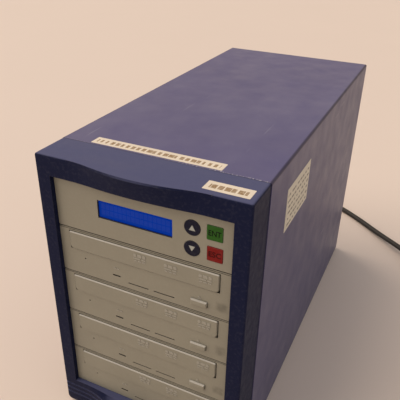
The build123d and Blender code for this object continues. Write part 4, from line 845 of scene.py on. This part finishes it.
class TOWER_OT_electrics(TowerOperator, bpy.types.Operator):
    """Finish the boards, the cables, the fans, the power supply, the inlet and the switch"""
    bl_idname = "tower.electrics"
    bl_label = "Electrics"

    controller_board_top = 0.0100     # above the bracket's foot
    supply_board_top = 0.0036         # above the lowest point of the supply's circuit

    def board(self, name, colours, board_top):
        """Solder mask with copper traces, and dark parts standing on it."""
        green = colours.board_green
        finish = Finish(name, green, 0.30, coat=0.3)
        trace = finish.span(finish.cells(260.0, "DISTANCE_TO_EDGE", stretch=(1, 0.5, 1)), 0.05, 0.02)
        finish.tint(finish.times(trace, 0.5), lighter(green, 0.12))
        finish.mottle(darker(green, 0.3), 40.0, 3.0, 0.4, 0.8, 0.4)
        finish.tint(finish.span(finish.axis("Z"), board_top, board_top + 0.0002), colours.chip_black)
        finish.raise_by(0.00003, finish.noise(700.0, 3.0))
        return finish.done(finish.uneven(150.0, 2.0, 0.3, 0.7, 0.26, 0.40))

    def ribbon(self, grey):
        """Flat cable with one ridge for each of its wires."""
        finish, rough = moulding("ribbon_cable", grey, 0.5, depth=0.00001)
        wires = finish.math("PINGPONG", finish.axis("X"), wire_pitch / 2)
        ridge = finish.span(wires, 0.0, wire_pitch / 2)
        # painted shade: darker in the grooves between the wires
        finish.tint(finish.span(ridge, 0.25, 0.0, 0.0, 0.7), darker(grey, 0.5))
        finish.raise_by(0.0002, ridge)
        return finish.done(rough)

    def execute(self, context):
        colours = context.scene.tower_finish
        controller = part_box("controller_bracket")[0].z + self.controller_board_top
        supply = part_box("supply_circuit")[0].z + self.supply_board_top
        dress(self.board("controller_mask", colours, controller), "controller_boards")
        dress(self.board("supply_mask", colours, supply), "supply_circuit")
        dress(self.ribbon(colours.cable_grey), "drive_cables")
        dress(moulded("fan_moulding", colours.black, 0.38, grain=1200.0), "case_fan_frame",
              "case_fan_rotor", "supply_fan_frame", "supply_fan_rotor")
        dress(plated("supply_plate", darker(colours.zinc, 0.08), 0.34, along=(0.1, 1.0, 1.0)),
              "supply_case")
        dress(moulded("inlet_moulding", colours.black, 0.36), "power_inlet", "switch_housing")
        dress(moulded("rocker_moulding", colours.black, 0.30), "switch_rocker")
        return {"FINISHED"}


class TOWER_OT_stage(TowerOperator, bpy.types.Operator):
    """Set the pale floor, the soft lamp and the camera"""
    bl_idname = "tower.stage"
    bl_label = "Stage"

    lamp_aim = Vector((1.3, 0.3, -1.2))      # from above on the left
    bright_side = (0.0, 0.45, 0.89)          # the soft light is strongest from here
    sensor_width = 36.0
    floor_radius = 8.0

    def camera(self, context, stage):
        """Camera where the photograph was taken from."""
        data = bpy.data.cameras.new("photo_camera")
        data.sensor_fit = "HORIZONTAL"
        data.sensor_width = self.sensor_width
        data.lens = stage.camera_lens
        data.clip_start = 0.01
        camera = bpy.data.objects.new("photo_camera", data)
        camera.location = stage.camera_place
        camera.rotation_euler = stage.camera_turn
        context.collection.objects.link(camera)
        context.scene.camera = camera

    def floor(self, context, stage):
        """Wide round floor with faint clouds in its paint."""
        mesh = bpy.data.meshes.new("floor")
        shape = bmesh.new()
        bmesh.ops.create_circle(shape, cap_ends=True, segments=96, radius=self.floor_radius)
        shape.to_mesh(mesh)
        shape.free()
        paint = Finish("floor_paint", stage.floor_colour, 0.6, specular=0.3)
        paint.mottle(darker(stage.floor_colour, 0.05), 2.5, 3.0, 0.3, 0.8, 0.3)
        mesh.materials.append(paint.done(edge_radius=0.0))
        floor = bpy.data.objects.new("floor", mesh)
        context.collection.objects.link(floor)

    def world(self, context, stage):
        """Soft light, stronger from above and behind, and a pale wall where it is seen or mirrored."""
        world = bpy.data.worlds.new("studio")
        context.scene.world = world
        world.use_nodes = True
        tree = world.node_tree
        tree.nodes.clear()

        heading = add_node(tree, "ShaderNodeVectorMath", operation="DOT_PRODUCT")
        tree.links.new(add_node(tree, "ShaderNodeTexCoord").outputs["Generated"], heading.inputs[0])
        heading.inputs[1].default_value = self.bright_side
        rise = add_node(tree, "ShaderNodeMapRange", interpolation_type="SMOOTHSTEP")
        rise.inputs["From Min"].default_value = -0.5
        tree.links.new(heading.outputs["Value"], rise.inputs["Value"])
        light = add_node(tree, "ShaderNodeMix", data_type="RGBA")
        tree.links.new(rise.outputs["Result"], light.inputs[0])
        light.inputs[6].default_value = (*stage.front_light, 1)
        light.inputs[7].default_value = (*stage.rear_light, 1)

        rays = add_node(tree, "ShaderNodeLightPath")
        seen = rays.outputs["Is Camera Ray"]
        for kind in ("Is Glossy Ray", "Is Transmission Ray"):
            either = add_node(tree, "ShaderNodeMath", operation="MAXIMUM")
            tree.links.new(seen, either.inputs[0])
            tree.links.new(rays.outputs[kind], either.inputs[1])
            seen = either.outputs[0]
        colour = add_node(tree, "ShaderNodeMix", data_type="RGBA")
        tree.links.new(seen, colour.inputs[0])
        tree.links.new(light.outputs[2], colour.inputs[6])
        colour.inputs[7].default_value = (*stage.wall_colour, 1)
        sky = add_node(tree, "ShaderNodeBackground")
        tree.links.new(colour.outputs[2], sky.inputs["Color"])
        output = add_node(tree, "ShaderNodeOutputWorld")
        tree.links.new(sky.outputs[0], output.inputs["Surface"])

    def lamp(self, context, stage):
        """Large warm lamp that gives soft shadows."""
        light = bpy.data.lights.new("large_lamp", "SUN")
        light.energy = stage.lamp_strength
        light.color = stage.lamp_colour
        light.angle = stage.lamp_spread
        lamp = bpy.data.objects.new("large_lamp", light)
        lamp.location = self.lamp_aim * -1.0
        lamp.rotation_euler = self.lamp_aim.to_track_quat("-Z", "Y").to_euler()
        context.collection.objects.link(lamp)

    def execute(self, context):
        stage = context.scene.tower_stage
        for part in (self.camera, self.floor, self.world, self.lamp):
            part(context, stage)
        context.scene.view_settings.view_transform = "Standard"
        return {"FINISHED"}


steps = (TOWER_OT_stage, TOWER_OT_cord, TOWER_OT_cover, TOWER_OT_bezel, TOWER_OT_drives,
         TOWER_OT_panel, TOWER_OT_chassis, TOWER_OT_electrics)
settings = (("tower_finish", TowerFinishSettings), ("tower_cord", TowerCordSettings),
            ("tower_stage", TowerStageSettings))


class TOWER_PT_sidebar(bpy.types.Panel):
    """Steps that dress the tower"""
    bl_idname = "TOWER_PT_sidebar"
    bl_label = "Disc duplicator tower"
    bl_space_type = "VIEW_3D"
    bl_region_type = "UI"
    bl_category = "Tower"

    def draw(self, context):
        for step in steps:
            self.layout.operator(step.bl_idname)
        for name, group in settings:
            box = self.layout.box()
            for key in group.__annotations__:
                box.prop(getattr(context.scene, name), key)


def register():
    for name, group in settings:
        bpy.utils.register_class(group)
        setattr(bpy.types.Scene, name, bpy.props.PointerProperty(type=group))
    for step in steps:
        bpy.utils.register_class(step)
    bpy.utils.register_class(TOWER_PT_sidebar)


def unregister():
    bpy.utils.unregister_class(TOWER_PT_sidebar)
    for step in reversed(steps):
        bpy.utils.unregister_class(step)
    for name, group in reversed(settings):
        delattr(bpy.types.Scene, name)
        bpy.utils.unregister_class(group)


def main():
    register()
    for step in steps:
        family, action = step.bl_idname.split(".")
        getattr(getattr(bpy.ops, family), action)()


if __name__ == "__main__":
    main()
